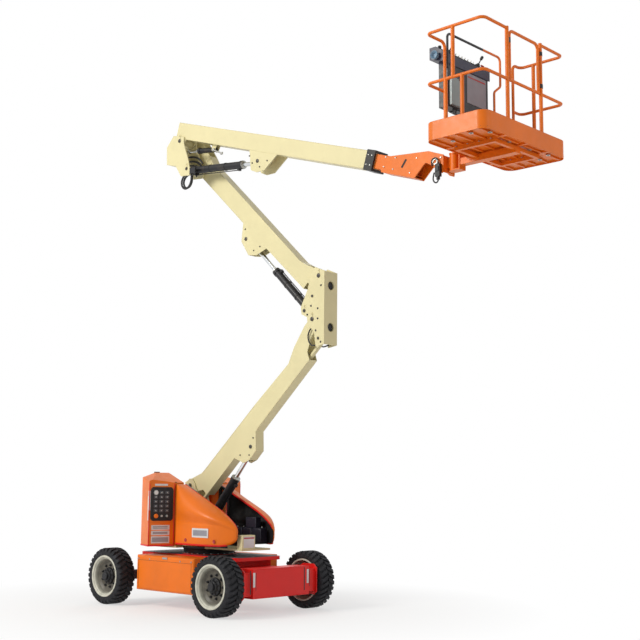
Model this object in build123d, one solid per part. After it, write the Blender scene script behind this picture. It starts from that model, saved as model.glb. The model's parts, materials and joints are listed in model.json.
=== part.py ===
from build123d import *
from collections import namedtuple
from math import atan2, cos, degrees, hypot, radians, sin
import os

os.makedirs("parts", exist_ok=True)

# Articulating boom lift, in millimetres, +Z up.
# +X points towards the platform end and the drive axle, +Y to the machine's left.
# The origin is on the ground, on the turntable's swing axis.

# ---------------------------------------------------------------- clearances
PIN_GAP = 0.3            # radial gap of a pin in its bore, and of a boss at its cheek
RUNNING_GAP = 6          # gap between plates that move past each other
SLIDE_GAP = 1            # gap of a rod in its gland and of the fly boom on its wear pads

# ---------------------------------------------------------------- chassis and wheels
WHEELBASE = 2000
TRACK = 1500
TYRE_DIAMETER = 693
TYRE_WIDTH = 240
TYRE_SHOULDER = 42
RIM_DIAMETER = 490
RIM_WALL = 14
RIM_FLANGE = 10
RIM_DISC_INSET = 66      # from the tyre's outer face to the disc
RIM_DISC = 14
HUB_RADIUS = 112
HUB_CAP_RADIUS = 66
HUB_LENGTH = 130
HUB_CAP_INSET = 8        # hub cap's face inside the tyre's outer face
SPINDLE_RADIUS = 32
FRAME_WIDTH = 780
FRAME_LENGTH = WHEELBASE - 600
FRAME_BOTTOM = 235
NECK_BOTTOM = 300        # of the box frame's two narrow ends
NECK_TOP = 520
DECK_TOP = 640
DECK_THICKNESS = 40
DECK_LENGTH = WHEELBASE - 160
DECK_CORNER = 110
TIE_DOWN_X = FRAME_LENGTH / 2 - 60
TIE_DOWN_Z = 330
TIE_DOWN_PLATE = 16
TIE_DOWN_RADIUS = 18
BOX_REAR = -567
BOX_FRONT = 516
BOX_BOTTOM = 206
BOX_TOP = 628
BOX_OUTER = 695
BOX_EDGE = 28
BEAM_FRONT = WHEELBASE / 2 + 285
BEAM_DEPTH = 210
BEAM_BOTTOM = 205
BEAM_TOP = 540
BEAM_HALF_WIDTH = 460
BEAM_PLATE = 14
BEAM_CHEEK = 604         # outer face of the beam's cheek plates
MOTOR_RADIUS = 105
KINGPIN_Y = 590
KINGPIN_RADIUS = 18
KINGPIN_BOSS = 42
YOKE_HALF_HEIGHT = 130
YOKE_LUG = 28
AXLE_DEPTH = 120
AXLE_HEIGHT = 110
STEER_ARM = 130
STEER_ARM_THICKNESS = 16
STEER_ROD_RADIUS = 15
STEER_BARREL_RADIUS = 32
STEER_BARREL_LENGTH = 380
STEER_ROD_DROP = 42      # steering cylinder below the axle's middle
SLEW_RADIUS = 300
SLEW_WALL = 70
SLEW_TOP = 706

# ---------------------------------------------------------------- turntable
TURN_BOTTOM = 716
TURN_PLATE = 22
TURN_RADIUS = 330
TURN_FRONT = 880         # front end of the base's narrow nose
TAIL_RADIUS = 872
COUNTERWEIGHT_DEPTH = 232
COUNTERWEIGHT_WIDTH = 1200
COUNTERWEIGHT_TOP = 1380
TOWER_PLATE = 16
HOOD_BOTTOM = 762
HOOD_WALL = 8
HOOD_RAIL = 20           # thickness of the rails the hoods hang on
HOOD_GAP = 290           # half of the gap between the two hoods
HOOD_REAR = -150
HOOD_NOSE = HOOD_REAR + 995
HOOD_TOP_REAR = 1500
HOOD_KNEE = (HOOD_REAR + 700, HOOD_TOP_REAR - 317)     # where the hood's top line steepens
HOOD_BROW = (HOOD_NOSE - 50, HOOD_TOP_REAR - 460)      # where it steepens again above the nose
HOOD_TOP_FRONT = HOOD_TOP_REAR - 490
HOOD_NOSE_TOP = HOOD_TOP_FRONT - 55
HOOD_NOSE_LOW = HOOD_TOP_FRONT - 165
HOOD_SIDE_REAR = 505
HOOD_SIDE_FRONT = 370
HOOD_RAIL_LENGTH = 200
COWL_REAR = COUNTERWEIGHT_DEPTH - TAIL_RADIUS + 10
COWL_BOTTOM = 738
COWL_TOP = 1530
COWL_APEX = 1635
COWL_WALL = 8
COWL_RIDGE = 490         # from the middle plane to where a cowl's top starts to fall
COWL_CORNER = (COWL_REAR + 65, 640)     # the two outer corners of a cowl's plan
COWL_EDGE = (HOOD_REAR - 125, 760)

# ---------------------------------------------------------------- tower, a double parallelogram
TOWER_Y = 110            # the tower booms' middle plane
TUBE_WIDTH = 135
TUBE_WALL = 8
LOWER_PIVOT = (-420, 1480)
UPRIGHT_PIVOT = (1740, 3440)    # the lower boom's top pin, on the upright
MID_PIVOT = (1840, 3950)        # the mid boom's bottom pin, on the upright
KNUCKLE_PIVOT = (-556, 6125)    # the mid boom's top pin, on the knuckle
LINK_OFFSET = (100, 235)        # from a timing link's pin to its boom's pin
LINK_DEPTH = 30
LINK_WIDTH = 50
LINK_EYE = 32
PIN_RADIUS = 25
LINK_PIN_RADIUS = 16
UPRIGHT_WIDTH = 225
UPRIGHT_FRONT = 1934
UPRIGHT_PLATE = 12

# ---------------------------------------------------------------- main boom, fly and platform
MAIN_Y = -130            # the main boom's middle plane
MAIN_PIVOT = (-495, 6013)
MAIN_ANGLE = -17.4
MAIN_WIDTH = 190
MAIN_LOW = 35            # bottom and top of the section above the pivot's line
MAIN_HIGH = 243
MAIN_WALL = 8
MAIN_LENGTH = 3500
MAIN_TAIL = 115
COLLAR_LENGTH = 120
COLLAR_WALL = 10
FLY_WIDTH = 150
FLY_LOW = 58
FLY_HIGH = 220
FLY_WALL = 8
FLY_STROKE = 1900
FLY_INSIDE = FLY_STROKE + 550    # stretch of the fly that is inside the main boom when it is shut
NOSE_PLATE = 13
LEVEL_PIVOT = (MAIN_LENGTH + 876, 228)  # along and above the main pivot's line
LEVEL_PIN_RADIUS = 20
HEAD_CHEEK = 12
ROTATOR_REACH = 176      # from the levelling pin to the rotator's axis
ROTATOR_RADIUS = 50
ROTATOR_HEIGHT = 170
SUPPORT_REACH = 95       # from the rotator's axis to the support's upright plate
SUPPORT_WIDTH = 110
SUPPORT_PLATE = 12
SUPPORT_TUBE = 40
SUPPORT_SPREAD = 385     # from the middle plane to the support's side tubes
PLATFORM_REACH = 549     # from the rotator's axis to the platform's middle
PLATFORM_DEPTH = 740
PLATFORM_LENGTH = 1500
PLATFORM_CORNER = 110
FLOOR_HEIGHT = 24        # the floor's top above the pan's lower edge
PAN_HEIGHT = 185
PAN_WALL = 4
RAIL_HEIGHT = 1130
MID_RAIL = 600
RAIL_RADIUS = 16
RAIL_BEND = 60
POST_RADIUS = 20
RAIL_INSET = 24          # rails' and posts' axes inside the pan's outer face
ANCHOR_RADIUS = 14       # lanyard anchors under the console
ANCHOR_SPREAD = 200
GATE_NEAR = -450         # the two posts beside the gate, along Y
GATE_FAR = 160
CABINET_BOTTOM = MID_RAIL - 120
CONSOLE_TOP = RAIL_HEIGHT - 10
GUARD_HEIGHT = RAIL_HEIGHT + 120
KNUCKLE_PLATE = 15
MASTER_BASE = (625, -25)        # the master cylinder's base pin, along and above the main pivot's line
MASTER_ANCHOR = (-425, 5879)    # the master cylinder's rod pin, on the knuckle
MASTER_EYE = 40
MASTER_PIN = 14
MASTER_BARREL = 330
MASTER_RADIUS = 34
MASTER_ROD = 18
MASTER_INSIDE = 250

# ---------------------------------------------------------------- lift cylinders
BARREL_WALL = 8
ROD_EYE_RADIUS = 36
LOWER_CYL_BASE = (-305, 819)
MID_CYL_BASE = (1610, 3552)
MAIN_CYL_BASE = (-338, 5604)
LOWER_CYL_EYE = (1129, -379)    # along and above the lower boom's pivot line
MID_CYL_EYE = (1403, -416)
MAIN_CYL_EYE = (1586, -83)

Line = namedtuple("Line", "pivot angle side")   # side -1 points to -X


def line_between(start, end):
    """The line of a boom from its lower pin to its upper one."""
    run = end[0] - start[0]
    side = 1 if run > 0 else -1
    return Line(start, degrees(atan2(end[1] - start[1], abs(run))), side)


LOWER = line_between(LOWER_PIVOT, UPRIGHT_PIVOT)
MID = line_between(MID_PIVOT, KNUCKLE_PIVOT)
MAIN = Line(MAIN_PIVOT, MAIN_ANGLE, 1)
LOWER_LENGTH = hypot(UPRIGHT_PIVOT[0] - LOWER_PIVOT[0], UPRIGHT_PIVOT[1] - LOWER_PIVOT[1])
MID_LENGTH = hypot(KNUCKLE_PIVOT[0] - MID_PIVOT[0], KNUCKLE_PIVOT[1] - MID_PIVOT[1])


def at(line, along, above):
    """A point of the X-Z plane, given along a boom's pin line and above it."""
    a = radians(line.angle)
    x = line.pivot[0] + line.side * (along * cos(a) - above * sin(a))
    return x, line.pivot[1] + along * sin(a) + above * cos(a)


def link_pin(pivot, side):
    """The timing link's pin that goes with a boom's pin."""
    return pivot[0] + side * LINK_OFFSET[0], pivot[1] - LINK_OFFSET[1]


# Places of the levelled end, to the nearest millimetre.
LEVEL_X, LEVEL_Z = (round(value) for value in at(MAIN, *LEVEL_PIVOT))
ROTATOR_X = LEVEL_X + ROTATOR_REACH
ROTATOR_BOTTOM = LEVEL_Z - 107
ROTATOR_TOP = ROTATOR_BOTTOM + ROTATOR_HEIGHT
PLATFORM_X = ROTATOR_X + PLATFORM_REACH
PLATFORM_BOTTOM = LEVEL_Z - 2


# ---------------------------------------------------------------- shapes used throughout

def plate(points, low_y, high_y):
    """A flat piece with its outline in the X-Z plane."""
    outline = make_face(Polyline(*[(x, high_y, z) for x, z in points], close=True))
    return extrude(outline, amount=high_y - low_y, dir=(0, -1, 0))


def bar_y(centre, radius, low_y, high_y):
    """A round bar across the machine."""
    place = Location((centre[0], (low_y + high_y) / 2, centre[1]), (90, 0, 0))
    return place * Cylinder(radius, high_y - low_y)


def bar_z(x, y, radius, low_z, high_z):
    """An upright round bar."""
    return Pos(x, y, (low_z + high_z) / 2) * Cylinder(radius, high_z - low_z)


def block(low, high):
    """A box between two corners."""
    size = [b - a for a, b in zip(low, high)]
    middle = [(a + b) / 2 for a, b in zip(low, high)]
    return Pos(*middle) * Box(*size)


def mirror_y(solid):
    return mirror(solid, about=Plane.XZ)


def save(name, shape, colour):
    shape.label = name
    shape.color = Color(*colour)
    export_step(shape, f"parts/{name}.step")


ORANGE = (0.90, 0.32, 0.06)
CREAM = (0.83, 0.79, 0.62)
BLACK = (0.03, 0.03, 0.04)
RUBBER = (0.05, 0.05, 0.06)
CHROME = (0.75, 0.76, 0.78)
GREY = (0.35, 0.36, 0.38)


# ---------------------------------------------------------------- wheels

def tyre():
    """A solid tyre on the Y axis, out to its lugs' tips."""
    half, outer, seat = TYRE_WIDTH / 2, TYRE_DIAMETER / 2, RIM_DIAMETER / 2 + PIN_GAP
    bead = 25
    points = [(seat, bead - half), (seat + bead, -half), (outer - TYRE_SHOULDER, -half),
              (outer, TYRE_SHOULDER - half)]
    points += [(r, -y) for r, y in reversed(points)]
    return revolve(make_face(Polyline(*points, close=True)), axis=Axis.Y)


def rim_and_hub():
    """A dished rim with its disc and bolted hub, its outer side towards +Y."""
    half, seat = TYRE_WIDTH / 2, RIM_DIAMETER / 2
    inside = seat - RIM_WALL
    flange_face = half - 5
    points = [(inside, -flange_face), (seat + RIM_FLANGE, -flange_face),
              (seat + RIM_FLANGE, RIM_FLANGE - flange_face), (seat, 2 * RIM_FLANGE - flange_face)]
    points += [(r, -y) for r, y in reversed(points)]
    barrel = revolve(make_face(Polyline(*points, close=True)), axis=Axis.Y)
    disc_face = half - RIM_DISC_INSET
    cap_face = half - HUB_CAP_INSET
    disc = bar_y((0, 0), inside + 2, disc_face - RIM_DISC, disc_face)
    hub = bar_y((0, 0), HUB_RADIUS, cap_face - HUB_LENGTH, cap_face - 22)
    cap = bar_y((0, 0), HUB_CAP_RADIUS, cap_face - 40, cap_face)
    bore = bar_y((0, 0), SPINDLE_RADIUS + PIN_GAP, cap_face - HUB_LENGTH - 1, cap_face - 45)
    return barrel + disc + hub + cap - bore


def save_wheels():
    height = TYRE_DIAMETER / 2
    for axle, x in (("drive", WHEELBASE / 2), ("steer", -WHEELBASE / 2)):
        for hand, side in (("left", 1), ("right", -1)):
            place = Pos(x, side * TRACK / 2, height)
            rim = rim_and_hub()
            if side < 0:
                rim = mirror_y(rim)
            save(f"{axle}_tyre_{hand}", place * tyre(), RUBBER)
            save(f"{axle}_rim_{hand}", place * rim, CREAM)


# ---------------------------------------------------------------- chassis

def chassis_frame():
    """The welded box frame, with its rounded deck plate."""
    half_length, half_width = FRAME_LENGTH / 2, FRAME_WIDTH / 2
    deck_bottom = DECK_TOP - DECK_THICKNESS
    frame = block((-half_length, -half_width, FRAME_BOTTOM), (half_length, half_width, deck_bottom))
    tongue = block((-WHEELBASE / 2 + AXLE_DEPTH / 2, -200, NECK_BOTTOM), (-half_length, 200, NECK_TOP))
    nose = block((half_length, -300, NECK_BOTTOM), (BEAM_FRONT - BEAM_PLATE - PIN_GAP, 300, NECK_TOP))
    nose -= bar_y((WHEELBASE / 2, TYRE_DIAMETER / 2), MOTOR_RADIUS + 1, -301, 301)
    deck = Pos(0, 0, DECK_TOP - DECK_THICKNESS / 2) * Box(DECK_LENGTH, FRAME_WIDTH, DECK_THICKNESS)
    deck = fillet(deck.edges().filter_by(Axis.Z), DECK_CORNER)
    frame += tongue + nose + deck + bar_z(0, 0, SLEW_RADIUS + 40, DECK_TOP - 1, DECK_TOP + 8)
    low, high = TIE_DOWN_Z - TIE_DOWN_PLATE / 2, TIE_DOWN_Z + TIE_DOWN_PLATE / 2
    for side in (1, -1):
        for x in (-TIE_DOWN_X, TIE_DOWN_X):
            edges = sorted((side * (half_width - 1), side * (half_width + 62)))
            frame += block((x - 40, edges[0], low), (x + 40, edges[1], high))
            frame -= bar_z(x, side * (half_width + 32), TIE_DOWN_RADIUS, low - 5, high + 5)
    return frame


def battery_box():
    """The right-hand side box, bevelled along its edges."""
    low = (BOX_REAR, -BOX_OUTER, BOX_BOTTOM)
    high = (BOX_FRONT, -FRAME_WIDTH / 2 - PIN_GAP, BOX_TOP)
    box = block(low, high)
    outer = box.faces().sort_by(Axis.Y)[0]
    return fillet(outer.edges(), BOX_EDGE)


def drive_axle_beam():
    """The drive end's beam: a boxed front with cheeks that carry the wheel motors."""
    rear = BEAM_FRONT - BEAM_DEPTH
    front = block((rear, -BEAM_HALF_WIDTH, BEAM_BOTTOM), (BEAM_FRONT, BEAM_HALF_WIDTH, BEAM_TOP))
    hollow = block((rear - 1, BEAM_PLATE - BEAM_HALF_WIDTH, BEAM_BOTTOM - 1),
                   (BEAM_FRONT - BEAM_PLATE, BEAM_HALF_WIDTH - BEAM_PLATE, BEAM_TOP - BEAM_PLATE))
    beam = front - hollow
    axle_x, axle_z = WHEELBASE / 2, TYRE_DIAMETER / 2
    cheek_outline = [(axle_x - 150, BEAM_BOTTOM + 55), (axle_x - 60, BEAM_BOTTOM),
                     (BEAM_FRONT - 40, BEAM_BOTTOM - 15), (BEAM_FRONT, BEAM_BOTTOM + 20),
                     (BEAM_FRONT, BEAM_TOP - 30), (BEAM_FRONT - 50, BEAM_TOP + 14),
                     (axle_x + 60, BEAM_TOP + 14), (axle_x - 150, BEAM_TOP - 100)]
    tube = bar_y((axle_x, axle_z), MOTOR_RADIUS, -BEAM_CHEEK, BEAM_CHEEK)
    beam += tube - bar_y((axle_x, axle_z), MOTOR_RADIUS - 30, -BEAM_HALF_WIDTH, BEAM_HALF_WIDTH)
    hub_face = TRACK / 2 + TYRE_WIDTH / 2 - HUB_CAP_INSET - HUB_LENGTH
    for side in (1, -1):
        edges = sorted((side * BEAM_CHEEK, side * (BEAM_CHEEK - BEAM_PLATE)))
        beam += plate(cheek_outline, *edges)
        ends = sorted((side * BEAM_HALF_WIDTH, side * (BEAM_CHEEK - 1)))
        beam += block((BEAM_FRONT - 60, ends[0], BEAM_BOTTOM + 30), (BEAM_FRONT - 30, ends[1], BEAM_TOP - 40))
        ends = sorted((side * (BEAM_CHEEK - 10), side * (hub_face + 60)))
        beam += bar_y((axle_x, axle_z), SPINDLE_RADIUS, *ends)
        ends = sorted((side * (BEAM_CHEEK - 10), side * (hub_face - PIN_GAP)))
        beam += bar_y((axle_x, axle_z), HUB_RADIUS - 20, *ends)
    return beam


def steer_axle():
    """The steered end's beam with a yoke and kingpin at each end, and its steering cylinder."""
    x, z = -WHEELBASE / 2, TYRE_DIAMETER / 2
    beam = block((x - AXLE_DEPTH / 2, 45 - KINGPIN_Y, z - AXLE_HEIGHT / 2),
                 (x + AXLE_DEPTH / 2, KINGPIN_Y - 45, z + AXLE_HEIGHT / 2))
    for side in (1, -1):
        ends = sorted((side * (KINGPIN_Y + 30), side * (KINGPIN_Y - 115)))
        for low in (z - YOKE_HALF_HEIGHT, z + YOKE_HALF_HEIGHT - YOKE_LUG):
            beam += block((x - 38, ends[0], low), (x + 38, ends[1], low + YOKE_LUG))
        ends = sorted((side * (KINGPIN_Y - 115), side * (KINGPIN_Y - 65)))
        beam += block((x - 38, ends[0], z - YOKE_HALF_HEIGHT), (x + 38, ends[1], z + YOKE_HALF_HEIGHT))
        ends = sorted((side * (KINGPIN_Y - 64), side * KINGPIN_Y))
        beam -= block((x - AXLE_DEPTH, ends[0], z - 90), (x + AXLE_DEPTH, ends[1], z + 90))
        beam += bar_z(x, side * KINGPIN_Y, KINGPIN_RADIUS, z - YOKE_HALF_HEIGHT - 6, z + YOKE_HALF_HEIGHT + 6)
    barrel_z = z - STEER_ROD_DROP
    barrel_x = x - STEER_ARM
    half = STEER_BARREL_LENGTH / 2
    barrel = bar_y((barrel_x, barrel_z), STEER_BARREL_RADIUS, -half, half)
    barrel -= bar_y((barrel_x, barrel_z), STEER_ROD_RADIUS + SLIDE_GAP, -half - 10, half + 10)
    for y in (-120, 120):
        bracket = block((barrel_x, y - 10, barrel_z - 14), (x - AXLE_DEPTH / 2 + 1, y + 10, barrel_z + 14))
        beam += bracket - bar_y((barrel_x, barrel_z), STEER_BARREL_RADIUS - 8, y - 11, y + 11)
    return beam + barrel


def steer_rod():
    """The double-ended rod with an eye over each steering arm."""
    x, z = -WHEELBASE / 2 - STEER_ARM, TYRE_DIAMETER / 2 - STEER_ROD_DROP
    reach = KINGPIN_Y - 20
    rod = bar_y((x, z), STEER_ROD_RADIUS, -reach, reach)
    for side in (1, -1):
        rod += bar_z(x, side * reach, 26, z - 12, z + 12)
        rod -= bar_z(x, side * reach, 10, z - 20, z + 20)
    return rod


def steering_knuckle():
    """The left-hand knuckle: its kingpin barrel, the wheel's spindle and the steering arm."""
    x, z = -WHEELBASE / 2, TYRE_DIAMETER / 2
    hub_face = TRACK / 2 + TYRE_WIDTH / 2 - HUB_CAP_INSET - HUB_LENGTH
    half = YOKE_HALF_HEIGHT - YOKE_LUG - PIN_GAP
    knuckle = bar_z(x, KINGPIN_Y, KINGPIN_BOSS, z - half, z + half)
    knuckle += bar_y((x, z), HUB_RADIUS - 25, KINGPIN_Y, hub_face - PIN_GAP)
    knuckle += bar_y((x, z), SPINDLE_RADIUS, KINGPIN_Y, hub_face + 60)
    arm_top = z - STEER_ROD_DROP - 15 - RUNNING_GAP
    knuckle += block((x - STEER_ARM - 22, KINGPIN_Y - 34, arm_top - STEER_ARM_THICKNESS),
                     (x, KINGPIN_Y + 2, arm_top))
    knuckle -= bar_z(x, KINGPIN_Y, KINGPIN_RADIUS + PIN_GAP, z - 200, z + 200)
    return knuckle


def slew_ring():
    """The slewing bearing's ring on the deck."""
    ring = bar_z(0, 0, SLEW_RADIUS, DECK_TOP + 8 + PIN_GAP, SLEW_TOP)
    return ring - bar_z(0, 0, SLEW_RADIUS - SLEW_WALL, DECK_TOP, SLEW_TOP + 1)


def save_chassis():
    save("chassis_frame", chassis_frame(), ORANGE)
    save("battery_box_right", battery_box(), ORANGE)
    save("battery_box_left", mirror_y(battery_box()), ORANGE)
    save("drive_axle_beam", drive_axle_beam(), ORANGE)
    save("steer_axle", steer_axle(), GREY)
    save("steer_rod", steer_rod(), CHROME)
    save("steering_knuckle_left", steering_knuckle(), GREY)
    save("steering_knuckle_right", mirror_y(steering_knuckle()), GREY)
    save("slew_ring", slew_ring(), BLACK)


# ---------------------------------------------------------------- turntable

def tower_cheek(low_y, high_y):
    """An upright plate of the turntable that carries the tower's lower pins."""
    x, z = LOWER_PIVOT
    low = TURN_BOTTOM + TURN_PLATE - 1
    outline = [(x - 200, low), (x - 150, z - 250), (x - 75, z + 45), (x - 20, z + 84), (x + 30, z + 80),
               (x + 80, z + 20), (x + 200, z - 260), (x + 330, LOWER_CYL_BASE[1] + 60), (x + 420, low)]
    return plate(outline, low_y, high_y)


def hood_rail_outline():
    """The sloping rail on two legs that the rear of a hood is hinged to."""
    low = TURN_BOTTOM + TURN_PLATE - 1
    rear, end, top = HOOD_REAR, HOOD_REAR + HOOD_RAIL_LENGTH, HOOD_TOP_REAR - 2
    fall = (HOOD_TOP_REAR - HOOD_KNEE[1]) / (HOOD_KNEE[0] - HOOD_REAR)
    return [(rear, low), (rear, top), (end, top - fall * HOOD_RAIL_LENGTH), (end, low), (end - 40, low),
            (end - 40, top - 25 - fall * HOOD_RAIL_LENGTH), (rear + 40, top - 50), (rear + 40, low)]


def turntable_frame():
    """The base plate, the two tower cheeks with their pins, and the tail carrier."""
    top = TURN_BOTTOM + TURN_PLATE
    frame = bar_z(0, 0, TURN_RADIUS, TURN_BOTTOM, top)
    frame += block((COWL_REAR - 70, -420, TURN_BOTTOM), (HOOD_REAR, 420, top))
    frame += block((HOOD_REAR - 1, -HOOD_GAP, TURN_BOTTOM),
                   (HOOD_REAR + HOOD_RAIL_LENGTH + 10, HOOD_GAP, top))
    frame += block((0, -262, TURN_BOTTOM), (TURN_FRONT, 200, top))
    frame += bar_z(0, 0, SLEW_RADIUS - SLEW_WALL - PIN_GAP, SLEW_TOP - 20, TURN_BOTTOM + 1)
    for outer in (PIN_GAP - HOOD_GAP, HOOD_GAP - PIN_GAP - HOOD_RAIL):
        frame += plate(hood_rail_outline(), outer, outer + HOOD_RAIL)
    half = TUBE_WIDTH / 2 + RUNNING_GAP
    for low_y in (TOWER_Y - half - TOWER_PLATE, TOWER_Y + half):
        frame += tower_cheek(low_y, low_y + TOWER_PLATE)
    reach = half + TOWER_PLATE + 10
    for pin, radius in ((LOWER_PIVOT, PIN_RADIUS), (link_pin(LOWER_PIVOT, 1), LINK_PIN_RADIUS),
                        (LOWER_CYL_BASE, LINK_PIN_RADIUS + 4)):
        frame += bar_y(pin, radius, TOWER_Y - reach, TOWER_Y + reach)
    return frame


def counterweight():
    """The cast tail weight, rounded to the tail's swing."""
    low, high = TURN_BOTTOM + TURN_PLATE + PIN_GAP, COUNTERWEIGHT_TOP
    half = COUNTERWEIGHT_WIDTH / 2
    disc = bar_z(0, 0, TAIL_RADIUS - 14, low, high)
    return disc & block((-TAIL_RADIUS, -half, low), (COUNTERWEIGHT_DEPTH - TAIL_RADIUS, half, high))


def cowl_plan(inset):
    """The right-hand tail cowl seen from above, set in by a wall."""
    front, rear = HOOD_REAR - 30 - inset, COWL_REAR + inset
    corner = (COWL_CORNER[0] + inset, inset - COWL_CORNER[1])
    edge = (COWL_EDGE[0] - inset * 0.2, inset - COWL_EDGE[1])
    return [corner, edge, (front, 75 - HOOD_SIDE_REAR), (front, -HOOD_GAP - 1), (rear, -HOOD_GAP - 1),
            (rear, 80 - COWL_CORNER[1])]


def cowl_profile(inset):
    """The tail's side outline: a low apex, falling to front and rear."""
    tail, pivot_x = COWL_REAR - 270, LOWER_PIVOT[0]
    return [(tail, COWL_BOTTOM - 1), (tail, COWL_TOP - 120 - inset), (COWL_REAR + 30, COWL_TOP - inset),
            (pivot_x - 90, COWL_APEX - inset), (pivot_x - 60, COWL_APEX - inset),
            (HOOD_REAR, HOOD_TOP_REAR - inset), (HOOD_REAR, COWL_BOTTOM - 1)]


def cowl_front(inset):
    """The cowl's outline seen from the front: its top falls towards the outer side."""
    outer, low = -COWL_EDGE[1] - 1, COWL_BOTTOM - 1
    points = [(outer, low), (outer, COWL_TOP - inset), (-COWL_RIDGE, COWL_APEX - inset),
              (-HOOD_GAP, COWL_APEX - inset), (-HOOD_GAP, low)]
    outline = make_face(Polyline(*[(-TAIL_RADIUS, y, z) for y, z in points], close=True))
    return extrude(outline, amount=TAIL_RADIUS, dir=(1, 0, 0))


def tail_cowl():
    """The fixed right-hand cowl that faces the operator on the ground."""
    def body(inset):
        plan = make_face(Polyline(*[(x, y, 0) for x, y in cowl_plan(inset)], close=True))
        tall = Pos(0, 0, COWL_BOTTOM) * extrude(plan, COWL_APEX - COWL_BOTTOM)
        return tall & plate(cowl_profile(inset), -COWL_EDGE[1] - 1, -HOOD_GAP) & cowl_front(inset)
    inner = body(COWL_WALL) + Pos(0, 0, -20) * body(COWL_WALL) + Pos(0, 20, 0) * body(COWL_WALL)
    return body(0) - inner


def hood_profile(inset):
    """The hood's side outline: a straight slope down to a rounded nose."""
    nose = HOOD_NOSE - inset
    return [(HOOD_REAR, HOOD_BOTTOM - 1), (HOOD_REAR, HOOD_TOP_REAR - inset),
            (HOOD_KNEE[0], HOOD_KNEE[1] - inset), (HOOD_BROW[0], HOOD_BROW[1] - inset),
            (HOOD_NOSE - 25, HOOD_TOP_FRONT - inset),
            (nose, HOOD_NOSE_TOP - inset), (nose, HOOD_NOSE_LOW), (nose - 90, HOOD_BOTTOM - 1)]


def hood_plan(inset):
    """The right-hand hood seen from above."""
    rear, nose = HOOD_REAR - 1, HOOD_NOSE - inset
    return [(rear, -HOOD_GAP), (rear, 65 - HOOD_SIDE_REAR), (HOOD_REAR + 90, inset - HOOD_SIDE_REAR),
            (HOOD_NOSE - 310, inset - HOOD_SIDE_REAR + 25), (HOOD_NOSE - 85, inset - HOOD_SIDE_FRONT),
            (nose, 50 - HOOD_SIDE_FRONT), (nose, -HOOD_GAP)]


def hood():
    """The right-hand hood, open towards the booms and below."""
    def body(inset):
        plan = make_face(Polyline(*[(x, y, 0) for x, y in hood_plan(inset)], close=True))
        tall = Pos(0, 0, HOOD_BOTTOM) * extrude(plan, HOOD_TOP_REAR - HOOD_BOTTOM)
        return tall & plate(hood_profile(inset), -HOOD_SIDE_REAR - 1, -HOOD_GAP)
    inner = body(HOOD_WALL)
    return body(0) - inner - Pos(0, 0, -20) * inner - Pos(0, 20, 0) * inner


def save_turntable():
    save("turntable_frame", turntable_frame(), CREAM)
    save("counterweight", counterweight(), ORANGE)
    save("tail_cowl_right", tail_cowl(), ORANGE)
    save("tail_cowl_left", mirror_y(tail_cowl()), ORANGE)
    save("hood_right", hood(), ORANGE)
    save("hood_left", mirror_y(hood()), ORANGE)


# ---------------------------------------------------------------- lift cylinders

def cylinder_line(base, eye):
    """The line of a lift cylinder from its base pin to its rod's eye."""
    return Line(base, degrees(atan2(eye[1] - base[1], eye[0] - base[0])), 1)


def turned(radius, low, high):
    """A round length on a cylinder's own axis."""
    return Pos(0, 0, (low + high) / 2) * Cylinder(radius, high - low)


def cylinder_barrel(base, eye, y, length, radius, rod_radius, eye_width):
    """A hollow barrel with its base eye, open at the gland."""
    line = cylinder_line(base, eye)
    end = length - radius
    tube = turned(radius, 0, end) + turned(radius + 6, end - 46, end - 6)
    tube -= turned(radius - BARREL_WALL, 20, end - 30)
    tube -= turned(rod_radius + SLIDE_GAP, 20, end + radius)
    x, z = at(line, radius, 0)
    turn = (0, 90 - line.angle, 0)
    tube = Location((x, y, z), turn) * tube
    ring = bar_y(base, radius * 0.85, y - eye_width / 2, y + eye_width / 2)
    neck = Pos(0, 0, radius / 2 + 1) * Box(eye_width, radius * 1.2, radius + 2)
    return tube + ring + Location((base[0], y, base[1]), turn) * neck


def cylinder_rod(base, eye, y, gland, radius, eye_radius, eye_width, inside):
    """A rod from inside the barrel to its eye; gland is the barrel's length from the base pin."""
    line = cylinder_line(base, eye)
    reach = hypot(eye[0] - base[0], eye[1] - base[1])
    x, z = at(line, gland - inside, 0)
    rod = turned(radius, 0, reach - gland + inside - eye_radius * 0.4)
    rod = Location((x, y, z), (0, 90 - line.angle, 0)) * rod
    ring = bar_y(eye, eye_radius, y - eye_width / 2, y + eye_width / 2)
    return rod + ring - bar_y(eye, eye_radius * 0.5, y - eye_width, y + eye_width)


LiftCylinder = namedtuple("LiftCylinder", "base eye y length radius rod_radius eye_width inside")
LIFTS = {
    "lower_lift": LiftCylinder(LOWER_CYL_BASE, at(LOWER, *LOWER_CYL_EYE), TOWER_Y, 1000, 52, 28, 60, 420),
    "mid_lift": LiftCylinder(MID_CYL_BASE, at(MID, *MID_CYL_EYE), TOWER_Y, 822, 48, 26, 60, 330),
    "main_lift": LiftCylinder(MAIN_CYL_BASE, at(MAIN, *MAIN_CYL_EYE), MAIN_Y, 984, 48, 26, 60, 710),
}


def bored_barrel(lift, pin_radius):
    """A cylinder's barrel with the bore for its base pin."""
    barrel = cylinder_barrel(lift.base, lift.eye, lift.y, lift.length, lift.radius, lift.rod_radius,
                             lift.eye_width)
    return barrel - bar_y(lift.base, pin_radius + PIN_GAP, lift.y - 100, lift.y + 100)


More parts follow.
